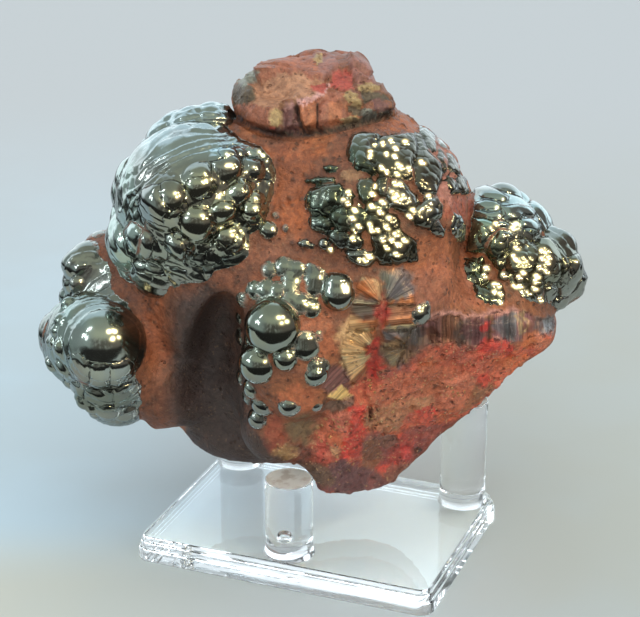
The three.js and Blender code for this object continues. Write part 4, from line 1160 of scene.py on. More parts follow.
# Patches on the side that was seen: x, y, half width, half height in the picture, colour, strength.
PATCHES = [
    # the neck and round the knobs
    (236, 118, 10, 12, "brown", 0.6), (300, 152, 40, 8, "orange", 0.4), (285, 168, 16, 24, "brown", 0.15),
    (292, 195, 18, 36, "orange", 0.45), (296, 215, 24, 16, "orange", 0.45), (350, 175, 10, 8, "gold", 0.35),
    (402, 126, 18, 5, "orange", 0.5), (405, 268, 30, 8, "orange", 0.6), (490, 305, 26, 8, "flame", 0.5), (452, 190, 16, 30, "salmon", 0.6), (448, 160, 22, 36, "shell", 0.6),
    (460, 215, 14, 16, "brick", 0.6), (440, 255, 40, 20, "orange", 0.5), (446, 285, 44, 22, "salmon", 0.35),
    (300, 285, 60, 16, "orange", 0.35), (318, 335, 20, 28, "flame", 0.8), (285, 312, 16, 8, "orange", 0.5),
    (300, 398, 22, 10, "flame", 0.95), (262, 385, 12, 12, "brown", 0.4),
    (206, 280, 40, 14, "brown", 0.45), (170, 276, 20, 8, "plum", 0.5), (240, 262, 20, 8, "rust", 0.4),
    # the slope beside the groove, and the groove: the umber, near-black and darker brown patches in and below it are
    # painted shade in the hollow and on the underside
    (152, 335, 20, 34, "flame", 0.6), (165, 400, 22, 26, "brown", 0.35), (148, 318, 18, 12, "brown", 0.2),
    (205, 342, 25, 50, "umber", 0.9), (208, 396, 30, 54, "painted_shade", 0.92), (188, 380, 12, 50, "umber", 0.7),
    (228, 410, 16, 50, "painted_shade", 0.85), (230, 452, 46, 20, "umber", 0.9), (200, 425, 22, 14, "umber", 0.8),
    (176, 400, 16, 22, "brown", 0.6), (150, 412, 22, 14, "brown", 0.5), (212, 304, 22, 10, "brown", 0.7),
    (248, 300, 8, 40, "umber", 0.35), (247, 366, 8, 50, "umber", 0.5), (290, 462, 44, 14, "umber", 0.7),
    (112, 262, 8, 22, "brown", 0.6), (92, 398, 16, 8, "brick", 0.9), (78, 300, 8, 14, "plum", 0.5),
    # the fans
    (398, 285, 14, 18, "slate", 0.75), (384, 276, 8, 8, "moss", 0.6), (370, 288, 12, 10, "orange", 0.5),
    (366, 305, 14, 10, "grey", 0.55), (400, 315, 14, 8, "tan", 0.7), (400, 331, 16, 6, "slate", 0.8),
    (402, 349, 13, 11, "straw", 0.85), (354, 340, 13, 20, "straw", 0.8), (352, 366, 9, 12, "straw", 0.8),
    # the vein
    (383, 310, 6, 14, "red", 0.6), (374, 358, 8, 22, "red", 0.75), (368, 385, 8, 14, "brick", 0.7),
    # chips of broken knobs
    (334, 378, 12, 14, "plum", 0.85), (340, 394, 12, 5, "gold", 0.9), (338, 405, 14, 6, "umber", 0.8),
    (276, 434, 12, 16, "brick", 0.6), (300, 430, 18, 12, "olive", 0.75), (284, 451, 10, 4, "brass", 0.6),
    # the ledge
    (420, 338, 16, 12, "umber", 0.8), (440, 332, 14, 12, "brown", 0.7), (460, 332, 7, 14, "umber", 0.8),
    (480, 330, 14, 12, "plum", 0.75), (487, 329, 5, 5, "red", 0.7), (504, 328, 8, 12, "slate", 0.7),
    (522, 324, 4, 10, "gold", 0.9), (534, 328, 8, 10, "brown", 0.7), (550, 322, 8, 8, "slate", 0.7),
    # the broken face
    (400, 352, 20, 14, "umber", 0.7), (430, 356, 30, 10, "brown", 0.35), (500, 348, 18, 7, "red", 0.6), (536, 340, 14, 7, "orange", 0.6), (480, 370, 30, 10, "salmon", 0.3), (440, 366, 20, 8, "orange", 0.35),
    (515, 362, 26, 10, "orange", 0.5), (470, 362, 30, 10, "brick", 0.6), (545, 345, 10, 8, "salmon", 0.6),
    (357, 422, 7, 16, "red", 0.75), (352, 446, 9, 14, "red", 0.75), (330, 430, 16, 14, "salmon", 0.5), (425, 412, 10, 8, "red", 0.8),
    (412, 444, 14, 8, "red", 0.5), (440, 430, 18, 8, "brick", 0.6), (400, 452, 14, 9, "red", 0.7),
    (388, 466, 12, 8, "red", 0.5), (384, 418, 18, 12, "olive", 0.45), (412, 400, 14, 8, "gold", 0.3),
    (440, 388, 16, 8, "gold", 0.35), (460, 395, 18, 10, "brick", 0.4), (376, 446, 16, 14, "plum", 0.7),
    (345, 480, 30, 16, "plum", 0.9), (400, 480, 30, 12, "brown", 0.6), (318, 462, 16, 10, "brick", 0.5),
    # the near-black spots at the end of the next row are painted shade in two pits
    (332, 452, 8, 5, "gold", 0.5), (420, 462, 10, 6, "painted_shade", 0.4), (418, 452, 5, 4, "painted_shade", 0.7),
    (300, 470, 30, 12, "umber", 0.7), (480, 390, 10, 10, "olive", 0.5), (484, 380, 6, 8, "red", 0.6),
    # the right lobe's outer side
    (566, 292, 10, 16, "plum", 0.5), (545, 240, 5, 26, "pink", 0.45), (510, 246, 5, 10, "orange", 0.5),
]


# The lip over the ledge, and where the broken face glitters most.
LIP = [(431, 318), (444, 312), (460, 312), (464, 318), (470, 316), (494, 312), (516, 311)]
SPARKS = [(282, 451, 12, 7), (335, 451, 12, 10), (342, 390, 16, 6), (372, 384, 14, 22), (384, 418, 22, 14), (352, 352, 14, 24), (402, 350, 14, 12), (412, 400, 22, 12), (330, 430, 16, 16), (450, 388, 30, 10)]
# Casts of the metallic skin, partly its own tone and partly painted light: the paler, cooler patches on the upper dome,
# its left band, the left ball and the right lobe's top are painted reflection of a bright sky, and the darker patches
# low down and on the right are painted shade; the strong darkening of the middle cells is their own duller tone. x, y,
# half width, half height in the picture, and a factor for each colour.
METAL_PATCHES = [
    (190, 128, 62, 34, (1.3, 1.42, 1.52)), (240, 150, 30, 8, (1.25, 1.4, 1.5)), (122, 215, 16, 70, (1.3, 1.42, 1.4)),
    (215, 210, 60, 42, (1.42, 1.4, 1.22)), (150, 262, 40, 22, (1.15, 1.2, 1.15)), (215, 262, 34, 12, (0.85, 0.9, 0.88)),
    (345, 190, 46, 50, (0.44, 0.50, 0.42)), (405, 160, 40, 36, (0.44, 0.41, 0.36)), (400, 240, 40, 34, (0.44, 0.42, 0.38)),
    (512, 210, 56, 22, (1.3, 1.5, 1.6)), (530, 262, 50, 30, (0.78, 0.78, 0.68)), (482, 240, 24, 26, (1.0, 1.14, 1.0)), (482, 285, 26, 22, (0.62, 0.70, 0.60)),
    (84, 308, 26, 18, (1.1, 1.2, 1.22)), (60, 340, 14, 50, (0.95, 1.02, 1.0)), (280, 330, 60, 80, (1.08, 1.12, 1.04)), (134, 350, 10, 30, (0.6, 0.6, 0.56)),
    (104, 400, 40, 14, (0.72, 0.77, 0.74)), (456, 172, 22, 44, (0.55, 0.5, 0.46)), (106, 350, 30, 34, (1.45, 1.5, 1.45)),
]


def mix(a, b, w):
    return a * (1 - w[:, None]) + np.asarray(b)[None] * w[:, None]


def paint(mesh, beads):
    co = positions(mesh)
    near = Near(co)
    n = unit(gradient(near.solid, co, 0.35))
    z = zones(co, n)
    m1, m2, which = near.two(co)
    body = np.minimum(masses(co), cap(co))
    shiny = body - m1  # above 0 on the metallic skin
    shell = knob_distance(co, UNDER)
    shiny = shiny + 1.3 * ramp(shiny, 0.0, 0.12) * ramp(shell, 1.0, 0.5)
    shiny = np.maximum(shiny, (z["skin"] * 3 - 1) * (1 - z["cap"]) - 2 * z["cap"])
    shiny = shiny * (1 - z["only"]) + (z["cover"] * 3.0 - 1.0) * z["only"]
    shiny = shiny + 1.5 * z["cover"] * (1 - z["only"])
    shiny = np.where(shiny < 0, shiny * 5, shiny)
    # nearness to a crease between knobs or to a plate's edge; the material paints these near black, as painted shade
    crease = m2 - m1
    crease = np.where((z["only"] > 0.5) | (z["cover"] > 0.5) | (z["skin"] > 0.5), 2.0, crease)
    crease = np.minimum(crease, z["edge"] / 3.75 + 0.04)

    c = np.tile(COLOURS["rust"], (len(co), 1))
    t = fbm(co, 11.0, 201, 3)
    c = mix(c, COLOURS["orange"], ramp(t, 0.0, 0.5) * 0.7)
    c = mix(c, COLOURS["brown"], ramp(-t, 0.05, 0.5) * 0.55)
    c = mix(c, COLOURS["salmon"], ramp(fbm(co, 6.0, 205, 2), 0.25, 0.6) * 0.3)

    # broken face and the unseen sides: patches of red, brown and grey
    broken = np.clip(z["fracture"] + z["back"], 0, 1)
    b = np.tile(COLOURS["brick"], (len(co), 1)) * np.array([2.2, 1.95, 1.75])
    q = fbm(co, 9.0, 211, 3)
    b = mix(b, COLOURS["plum"], ramp(q, 0.05, 0.4) * 0.4)
    b = mix(b, COLOURS["orange"], ramp(-q, 0.15, 0.5) * 0.55)
    q = fbm(co, 5.0, 215, 3)
    b = mix(b, COLOURS["red"], ramp(q, 0.28, 0.5) * 0.4)
    b = mix(b, COLOURS["umber"], ramp(-q, 0.25, 0.5) * 0.4)
    b = mix(b, COLOURS["gold"], ramp(noise(co, 1.7, 217), 0.55, 0.8) * 0.35)
    c = c * (1 - broken[:, None]) + b * broken[:, None]

    # the cap's wedges
    cu, cv = z["u"] - 307, (z["v"] - 68) * 1.15
    ang = np.arctan2(cu, cv)
    far = np.hypot(cu, cv)
    w = step_noise(ang * 4.6 + 0.35 * noise(co, 4, 91), 92)
    k = np.tile(COLOURS["salmon"] * 0.9, (len(co), 1))
    k = mix(k, COLOURS["orange"], ramp(w, 0.45, 0.5))
    k = mix(k, COLOURS["brown"], ramp(w, 0.75, 0.8) * 0.7)
    k = mix(k, COLOURS["olive"], ramp(fbm(co, 5, 221, 2), 0.1, 0.5) * 0.5)
    k = mix(k, COLOURS["clay"], np.full(len(co), 0.5))
    for number, (_, _, _, name, _) in enumerate(CAP_FACES):
        k = mix(k, COLOURS[name] * (np.array([1.0, 0.8, 0.66]) if name == "rose" else 1.32), (z["face"] == number) * 0.85)
    k = k * (1 + 0.22 * fbm(co, 3.0, 241, 2))[:, None]
    c = c * (1 - z["cap"][:, None]) + k * z["cap"][:, None]

    # fans and ledge: bundles of different lustre
    fan = np.clip(z["fan_left"] + z["fan_right"], 0, 1)
    a = fibres(z)
    s = step_noise(a / 4.3 + 0.2 * noise(co, 3, 81), 224)
    k = np.tile(COLOURS["orange"], (len(co), 1))
    k = mix(k, COLOURS["gold"] * 1.3, ramp(s, 0.35, 0.4))
    k = mix(k, COLOURS["brown"], ramp(s, 0.62, 0.66))
    k = mix(k, COLOURS["gold"] * 1.5, ramp(s, 0.85, 0.88))
    c = c * (1 - fan[:, None]) + k * fan[:, None]
    s = step_noise(z["u2"] / 10.5 + 0.25 * noise(co, 4, 84), 225)
    k = np.tile(COLOURS["plum"] * 2.0, (len(co), 1))
    k = mix(k, COLOURS["slate"] * 1.4, ramp(s, 0.5, 0.56) * 0.7)
    k = mix(k, COLOURS["brown"], ramp(s, 0.72, 0.76))
    c = c * (1 - z["ledge"][:, None]) + k * np.array((1.32, 1.28, 1.12)) * z["ledge"][:, None]

    # the pale lip over the ledge
    lip = np.zeros(len(co), F32)
    for (x0, y0), (x1, y1) in zip(LIP, LIP[1:]):
        t = np.clip(((z["u2"] - x0) * (x1 - x0) + (z["v2"] - y0) * (y1 - y0)) / ((x1 - x0) ** 2 + (y1 - y0) ** 2), 0, 1)
        lip = np.maximum(lip, ramp(np.hypot(z["u2"] - x0 - t * (x1 - x0), z["v2"] - y0 - t * (y1 - y0)), 2.6, 1.0))

    # patches, their edges pulled about by noise
    u = z["u"] + 5.0 * noise(co, 3.2, 231) + 2.5 * noise(co, 1.4, 232)
    v = z["v"] + 5.0 * noise(co, 3.2, 233) + 2.5 * noise(co, 1.4, 234)
    ragged = 0.22 * noise(co, 1.9, 235) + 0.16 * noise(co, 0.9, 236)
    c = c * np.array([0.84, 1.02, 1.14])
    for x, y, rx, ry, name, strength in PATCHES:
        d = ((np.abs(u - x) / rx) ** 2.0 + (np.abs(v - y) / ry) ** 2.0) ** 0.5 + ragged * 1.5
        w = (ramp(d, 1.25, 0.85).astype(F32) * z["front"] * strength)[:, None]
        c = c * (1 - w) + COLOURS[name] * (1 + 0.5 * broken[:, None]) * w
    # the groove is painted dark grey-brown: painted shade in the hollow
    c = mix(c, lin(78, 64, 60), z["groove"] * 0.85)
    c = mix(c, COLOURS["shell"], lip * 0.75 * z["front"])
    # a near-black line under the cap's rim: painted shadow
    c = mix(c, COLOURS["painted_shade"], z["seam"] * 0.9)
    c = c * np.array([0.95, 1.0, 1.08])
    for number, (_, _, _, tone, _) in enumerate(FRACTURE_FACES):
        c = mix(c, lin(*tone) * 1.3, (z["low_face"] == number) * 0.8 * (1 - z["cap"]))

    # dark specks and beads
    d, who = cells(co, 2.9, 61)
    lump = (1 - z["groove"]) * (who > 0.55) * ramp(d, 0.34, 0.2) * (1 - broken) * (1 - fan) * (1 - z["cap"]) * (1 - z["ledge"])
    c = mix(c, COLOURS["umber"], lump * 0.55)

    # the skin's colour: a faint random cast from knob to knob, then patches that are partly its own tone and partly
    # painted light: cool and pale above, painted reflection of the sky; olive in the middle; browner and darker to the
    # right and below, painted shade
    skin_tone_and_light = np.tile(np.array([0.30, 0.315, 0.29]), (len(co), 1))
    skin_tone_and_light = skin_tone_and_light * (1 + 0.10 * (_rand(which, which * 0, which * 0, 8) - 0.5))[:, None]
    us, vs = z["u"] + 5 * noise(co, 6.0, 251), z["v"] + 5 * noise(co, 6.0, 252)
    for x, y, rx, ry, tone in METAL_PATCHES:
        d = np.hypot((us - x) / rx, (vs - y) / ry)
        w = ramp(d, 1.2, 0.7) * z["front"]
        skin_tone_and_light = skin_tone_and_light * (1 + w[:, None] * (np.array(tone) - 1))

    sparks = np.zeros(len(co), F32)
    for x, y, rx, ry in SPARKS:
        sparks = np.maximum(sparks, ramp(np.hypot((us - x) / rx, (vs - y) / ry), 1.2, 0.6) * z["front"])

    bead = np.arange(len(co)) >= len(co) - beads
    shiny[bead], crease[bead], broken[bead], sparks[bead] = 3.0, 2.0, 0.0, 0.0
    satin = np.maximum(SATIN[which] * (1 - z["cover"]) + 0.15 * z["cover"], np.maximum(z["fine"], np.maximum(0.8 * z["strata"] * (1 - z["cover"]), 0.6 * z["calm"])))
    satin[bead] = 0.35
    skin_tone_and_light[bead] = (0.46, 0.44, 0.36)
    silk = np.clip(fan + z["ledge"] * 0.8 + z["section"] * 0.32 + z["half_ball"] * 0.5 + z["gold_chip"] + 0.22 * z["cap"] * ramp(far, 24, 40), 0, 1) * (1 - z["vein"]) * ~bead
    for name, values in (
        ("shiny", np.clip(shiny, -3, 3)),
        ("crease", np.clip(crease, 0, 4)),
        ("silk", silk),
        ("sparks", sparks),
        ("broken", broken * (1 - z["ledge"])),
        ("across", a),
        ("satin", satin),
    ):
        att = mesh.attributes.new(name, "FLOAT", "POINT")
        att.data.foreach_set("value", np.ascontiguousarray(values, F32))
    for name, values in (("tint", c), ("skin_tone_and_light", skin_tone_and_light)):
        att = mesh.attributes.new(name, "FLOAT_COLOR", "POINT")
        rgba = np.ones((len(co), 4), F32)
        rgba[:, :3] = np.clip(values, 0, 1)
        att.data.foreach_set("color", rgba.ravel())



TARGET = 182000
co, quads = build_stone()
raw = mesh_from("hematite", co, quads)
stone = bpy.data.objects.new("hematite", raw)
bpy.context.scene.collection.objects.link(stone)
mod = stone.modifiers.new("thin", "DECIMATE")
mod.ratio = min(1.0, TARGET / (2.0 * len(quads)))
mod.use_collapse_triangulate = True
# the side with the finest cells keeps more of its points
group = stone.vertex_groups.new(name="keep")
nr = np.empty(len(raw.vertices) * 3, F32)
raw.vertices.foreach_get("normal", nr)
facing = ramp(-(nr.reshape(-1, 3) * unit(positions(raw) - EYE32)).sum(1), 0.0, 0.3)
for share in (0.0, 0.5, 1.0):
    chosen = np.nonzero(np.abs(facing - share) <= 0.25)[0]
    group.add([int(i) for i in chosen], 1.0 - 0.5 * share, "REPLACE")
mod.vertex_group = "keep"
mod.vertex_group_factor = 0.004
dg = bpy.context.evaluated_depsgraph_get()
thin = bpy.data.meshes.new_from_object(stone.evaluated_get(dg))
stone.modifiers.clear()
stone.data = thin
bpy.data.meshes.remove(raw)
thin, beads = with_beads(thin)
stone.data = thin
thin.name = "hematite"
paint(thin, beads)
co = positions(thin)
thin.vertices.foreach_set("co", (to_row(co) / 1000).astype(F32).ravel())
thin.polygons.foreach_set("use_smooth", np.ones(len(thin.polygons), bool))
thin.update()
print("stone triangles", len(thin.polygons), "facing", int(sum(1 for p in thin.polygons if p.normal.y < -0.1)))

# ------------------------------------------------------------------ materials
class Nodes:
    """A small helper that makes a node and links its inputs."""

    def __init__(self, tree):
        self.tree = tree

    def add(self, kind, sets=None, **props):
        node = self.tree.nodes.new(kind)
        for key, value in props.items():
            setattr(node, key, value)
        for key, value in (sets or {}).items():
            socket = node.inputs[key]
            if isinstance(value, bpy.types.NodeSocket):
                self.tree.links.new(value, socket)
            else:
                socket.default_value = value
        return node

    def math(self, op, a, b=0.5, clamp=False):
        return self.add("ShaderNodeMath", {0: a, 1: b}, operation=op, use_clamp=clamp).outputs[0]

    def remap(self, x, a, b, c=0.0, d=1.0, kind="SMOOTHSTEP"):
        return self.add("ShaderNodeMapRange", {0: x, 1: a, 2: b, 3: c, 4: d}, interpolation_type=kind).outputs[0]

    def mix(self, w, a, b, blend="MIX"):
        node = self.add("ShaderNodeMix", data_type="RGBA", blend_type=blend)
        for k, value in ((0, w), (6, a), (7, b)):
            if isinstance(value, bpy.types.NodeSocket):
                self.tree.links.new(value, node.inputs[k])
            else:
                node.inputs[k].default_value = value
        return node.outputs[2]

    def mixf(self, w, a, b):
        node = self.add("ShaderNodeMix", data_type="FLOAT")
        for k, value in ((0, w), (2, a), (3, b)):
            if isinstance(value, bpy.types.NodeSocket):
                self.tree.links.new(value, node.inputs[k])
            else:
                node.inputs[k].default_value = value
        return node.outputs[0]

    def noise(self, vector, scale, detail=3.0, rough=0.55, distortion=0.0):
        return self.add("ShaderNodeTexNoise", {"Vector": vector, "Scale": scale, "Detail": detail, "Roughness": rough, "Distortion": distortion}).outputs[0]

    def voronoi(self, vector, scale, feature="F1"):
        return self.add("ShaderNodeTexVoronoi", {"Vector": vector, "Scale": scale}, feature=feature)

    def attribute(self, name, colour=False):
        node = self.add("ShaderNodeAttribute", attribute_name=name)
        return node.outputs["Color" if colour else "Fac"]


def material(name):
    mat = bpy.data.materials.new(name)
    mat.use_nodes = True
    mat.node_tree.nodes.clear()
    t = Nodes(mat.node_tree)
    out = t.add("ShaderNodeOutputMaterial")
    bsdf = t.add("ShaderNodeBsdfPrincipled")
    mat.node_tree.links.new(bsdf.outputs[0], out.inputs[0])
    return mat, t, bsdf


def rgb(r, g, b):
    return (*[float(x) for x in lin(r, g, b)], 1.0)


def hematite_material():
    mat, t, bsdf = material("hematite")
    pos = t.add("ShaderNodeTexCoord").outputs["Object"]
    shiny, crease = t.attribute("shiny"), t.attribute("crease")
    silk, broken = t.attribute("silk"), t.attribute("broken")
    tint = t.attribute("tint", True)

    coarse = t.noise(pos, 220.0, 3.0, 0.6)
    medium = t.noise(pos, 620.0, 3.0, 0.6)
    fine = t.noise(pos, 1900.0, 2.0, 0.6)

    # where the metallic skin ends: an uneven edge, with rust creeping on to it
    edge = t.math("ADD", shiny, t.math("MULTIPLY", t.math("SUBTRACT", coarse, 0.5), 1.1))
    metal = t.remap(edge, 0.0, 0.10)
    dust = t.math("MULTIPLY", t.remap(edge, 0.9, 0.1), t.remap(medium, 0.44, 0.60))
    grime = t.math("MULTIPLY", t.remap(crease, 0.5, 0.1), t.remap(t.noise(pos, 75.0, 2.0), 0.56, 0.66))
    rusty = t.math("MAXIMUM", t.math("MULTIPLY", dust, 0.85), t.math("MULTIPLY", grime, 0.8))
    metal = t.math("MULTIPLY", metal, t.math("SUBTRACT", 1.0, rusty), clamp=True)

    # the matrix: earthy, mottled, with dark specks, and pale gold grains that are partly shinier and partly painted
    # glints
    across = t.attribute("across")
    line = t.add("ShaderNodeCombineXYZ", {0: across, 1: t.math("MULTIPLY", t.noise(pos, 120.0, 2.0), 1.2)}).outputs[0]
    strand = t.noise(line, 0.55, 3.0, 0.7)
    base = t.mix(t.remap(medium, 0.36, 0.64), t.mix(1.0, tint, (0.74, 0.68, 0.64, 1), "MULTIPLY"), t.mix(1.0, tint, (1.12, 1.08, 1.02, 1), "MULTIPLY"))
    base = t.mix(t.remap(coarse, 0.36, 0.64), t.mix(1.0, base, (0.90, 0.86, 0.82, 1), "MULTIPLY"), base)
    base = t.mix(t.math("MULTIPLY", t.remap(fine, 0.52, 0.68), 0.6), base, t.mix(1.0, base, (1.45, 1.35, 1.25, 1), "MULTIPLY"))
    fibre = t.mix(t.remap(strand, 0.36, 0.64), t.mix(1.0, tint, (0.60, 0.55, 0.51, 1), "MULTIPLY"), t.mix(1.0, tint, (1.40, 1.34, 1.26, 1), "MULTIPLY"))
    base = t.mix(t.remap(silk, 0.25, 0.5), base, fibre)
    speck = t.voronoi(pos, 700.0)
    dark = t.math("MULTIPLY", t.remap(speck.outputs["Distance"], 0.36, 0.22), t.remap(t.noise(pos, 260.0, 2.0), 0.52, 0.60))
    dark = t.math("MULTIPLY", dark, t.math("SUBTRACT", 1.0, silk), clamp=True)
    base = t.mix(t.math("MULTIPLY", dark, 0.6), base, rgb(62, 40, 32))
    grain = t.voronoi(pos, 950.0)
    glitter = t.math("MULTIPLY", t.remap(grain.outputs["Distance"], 0.34, 0.20), t.remap(t.noise(pos, 300.0, 2.0), 0.50, 0.58))
    glitter = t.math("MULTIPLY", glitter, t.math("ADD", t.math("MULTIPLY", broken, 0.6), 0.12))
    sparks = t.attribute("sparks")
    chip = t.voronoi(pos, 780.0)
    chosen = t.add("ShaderNodeSeparateColor", {0: chip.outputs["Color"]}).outputs[0]
    flake = t.math("MULTIPLY", t.remap(chip.outputs["Distance"], 0.42, 0.30), t.remap(chosen, 0.62, 0.66))
    glitter = t.math("MAXIMUM", glitter, t.math("MULTIPLY", flake, sparks))
    # pale gold painted into the colour of scattered grains: painted glints, on grains that are also made smoother and,
    # where sparks are given, metallic
    base = t.mix(t.math("MULTIPLY", glitter, 0.75), base, rgb(226, 178, 126))
    creep = t.math("MULTIPLY", t.math("MULTIPLY", rusty, t.remap(edge, -0.05, 0.05)), 0.5)
    base = t.mix(creep, base, rgb(150, 84, 52))

    # the metallic skin: dark grey with a faint green or warm cast that changes from knob to knob, and the painted
    # reflection and painted shade carried in its tone attribute
    satin = t.attribute("satin")
    cast = t.mix(t.math("MULTIPLY", t.remap(t.noise(pos, 150.0, 2.0), 0.5, 0.75), 0.3), t.attribute("skin_tone_and_light", True), (0.30, 0.26, 0.23, 1))
    # the creases between knobs and along the plates' edges are painted near black: painted shade in them; the same mask
    # also sinks the relief a little
    crease_dip_and_shade = t.remap(crease, 0.30, 0.02)
    cast = t.mix(t.math("MULTIPLY", crease_dip_and_shade, 0.9), cast, (0.03, 0.028, 0.025, 1))
    colour = t.mix(metal, base, cast)
    t.tree.links.new(colour, bsdf.inputs["Base Color"])

    fibre_metal = t.math("MULTIPLY", silk, 0.25)
    t.tree.links.new(t.mixf(metal, t.math("MAXIMUM", fibre_metal, t.math("MULTIPLY", t.math("MULTIPLY", flake, sparks), 0.7)), 1.0), bsdf.inputs["Metallic"])
    dull = t.mixf(silk, t.remap(medium, 0.3, 0.7, 0.46, 0.66), t.remap(medium, 0.3, 0.7, 0.28, 0.40))
    dull = t.mixf(glitter, dull, 0.22)
    bright = t.mixf(satin, t.remap(t.noise(pos, 300.0, 3.0, 0.7), 0.35, 0.8, 0.09, 0.15), t.remap(coarse, 0.3, 0.7, 0.16, 0.22))
    t.tree.links.new(t.mixf(metal, dull, bright), bsdf.inputs["Roughness"])
    bsdf.inputs["Specular IOR Level"].default_value = 0.42

    # relief too fine for the mesh
    soft = t.math("ADD", t.math("MULTIPLY", medium, 0.9), t.math("MULTIPLY", fine, 0.5))
    pits = t.math("MULTIPLY", dark, -0.6)
    relief = t.math("ADD", soft, pits)
    relief = t.math("MULTIPLY", relief, t.math("ADD", t.math("MULTIPLY", broken, 1.0), 0.9))
    relief = t.math("ADD", relief, t.math("MULTIPLY", glitter, 0.5))
    relief = t.mixf(t.remap(silk, 0.25, 0.5), relief, t.math("MULTIPLY", strand, 1.6))
    # the finest skin is one small bead beside another
    bead = t.voronoi(pos, 430.0)
    bead.inputs["Randomness"].default_value = 0.8
    beads = t.math("MULTIPLY", t.math("POWER", bead.outputs["Distance"], 2.0), t.math("MULTIPLY", t.remap(satin, 0.82, 0.97), -0.85))
    calm = t.math("ADD", t.math("MULTIPLY", t.noise(pos, 420.0, 1.0, 0.4), 0.10), t.math("MULTIPLY", crease_dip_and_shade, -0.3))
    calm = t.math("ADD", calm, beads)
    height = t.mixf(metal, relief, calm)
    bump = t.add("ShaderNodeBump", {"Height": height, "Strength": 0.9, "Distance": 0.0006})
    t.tree.links.new(bump.outputs[0], bsdf.inputs["Normal"])
    return mat


hematite = hematite_material()
stone.data.materials.clear()
stone.data.materials.append(hematite)
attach(stone, "root")
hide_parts("hematite_specimen")


# ------------------------------------------------------------------ the stand, in the stand's own axes
BASE_W, BASE_D, BASE_H, BASE_R = 84.0, 61.4, 6.8, 4.0
STEPS = [(0.0, 0.0, 3.6), (0.65, 3.6, 5.4), (1.3, 5.4, 6.8)]
PEG_R, PEG_FLARE = 6.35, 0.5
PEGS = (
    ("front_peg_clear", "front_peg", 0.0, -22.5, 28.2),
    ("rear_left_peg_clear", "rear_left_peg", -33.8, 22.5, 37.4),
    ("rear_right_peg_clear", "rear_right_peg", 33.8, 22.5, 37.5),
)


def ring(inset, z, segments=10):
    r = BASE_R - inset
    w, d = BASE_W / 2 - inset, BASE_D / 2 - inset
    out = []
    for cx, cy, start in ((w - r, -d + r, -90), (w - r, d - r, 0), (-w + r, d - r, 90), (-w + r, -d + r, 180)):
        for k in range(segments + 1):
            a = math.radians(start + 90 * k / segments)
            out.append((cx + r * math.cos(a), cy + r * math.sin(a), z))
    return out


def loft(rings, name, cap_ends=True):
    verts, faces = [], []
    n = len(rings[0])
    for ring_ in rings:
        verts += ring_
    for i in range(len(rings) - 1):
        for k in range(n):
            a, b = i * n + k, i * n + (k + 1) % n
            faces.append((a, b, b + n, a + n))
    mesh = bpy.data.meshes.new(name)
    if cap_ends:
        faces.append(tuple(reversed(range(n))))
        faces.append(tuple((len(rings) - 1) * n + k for k in range(n)))
    mesh.from_pydata([tuple(c / 1000 for c in v) for v in verts], [], faces)
    mesh.update()
    return mesh


def base_plate():
    b = 0.3  # the edges are rounded by this much
    rings = [ring(b, 0.0), ring(b * 0.29, b * 0.29), ring(0.0, b)]
    for i, (inset, z0, z1) in enumerate(STEPS):
        if i:
            rings += [ring(inset - 0.12, z0 + 0.02), ring(inset, z0 + 0.14)]
        rings += [ring(inset, z1 - b), ring(inset + b * 0.29, z1 - b * 0.29), ring(inset + b, z1)]
        if i < len(STEPS) - 1:
            rings += [ring(STEPS[i + 1][0] - 0.12, z1)]
    out = []
    for r in rings:
        if not out or r != out[-1]:
            out.append(r)
    mesh = loft(out, "base_plate_clear")
    mesh.polygons.foreach_set("use_smooth", np.ones(len(mesh.polygons), bool))
    mesh.set_sharp_from_angle(angle=0.3)
    return mesh


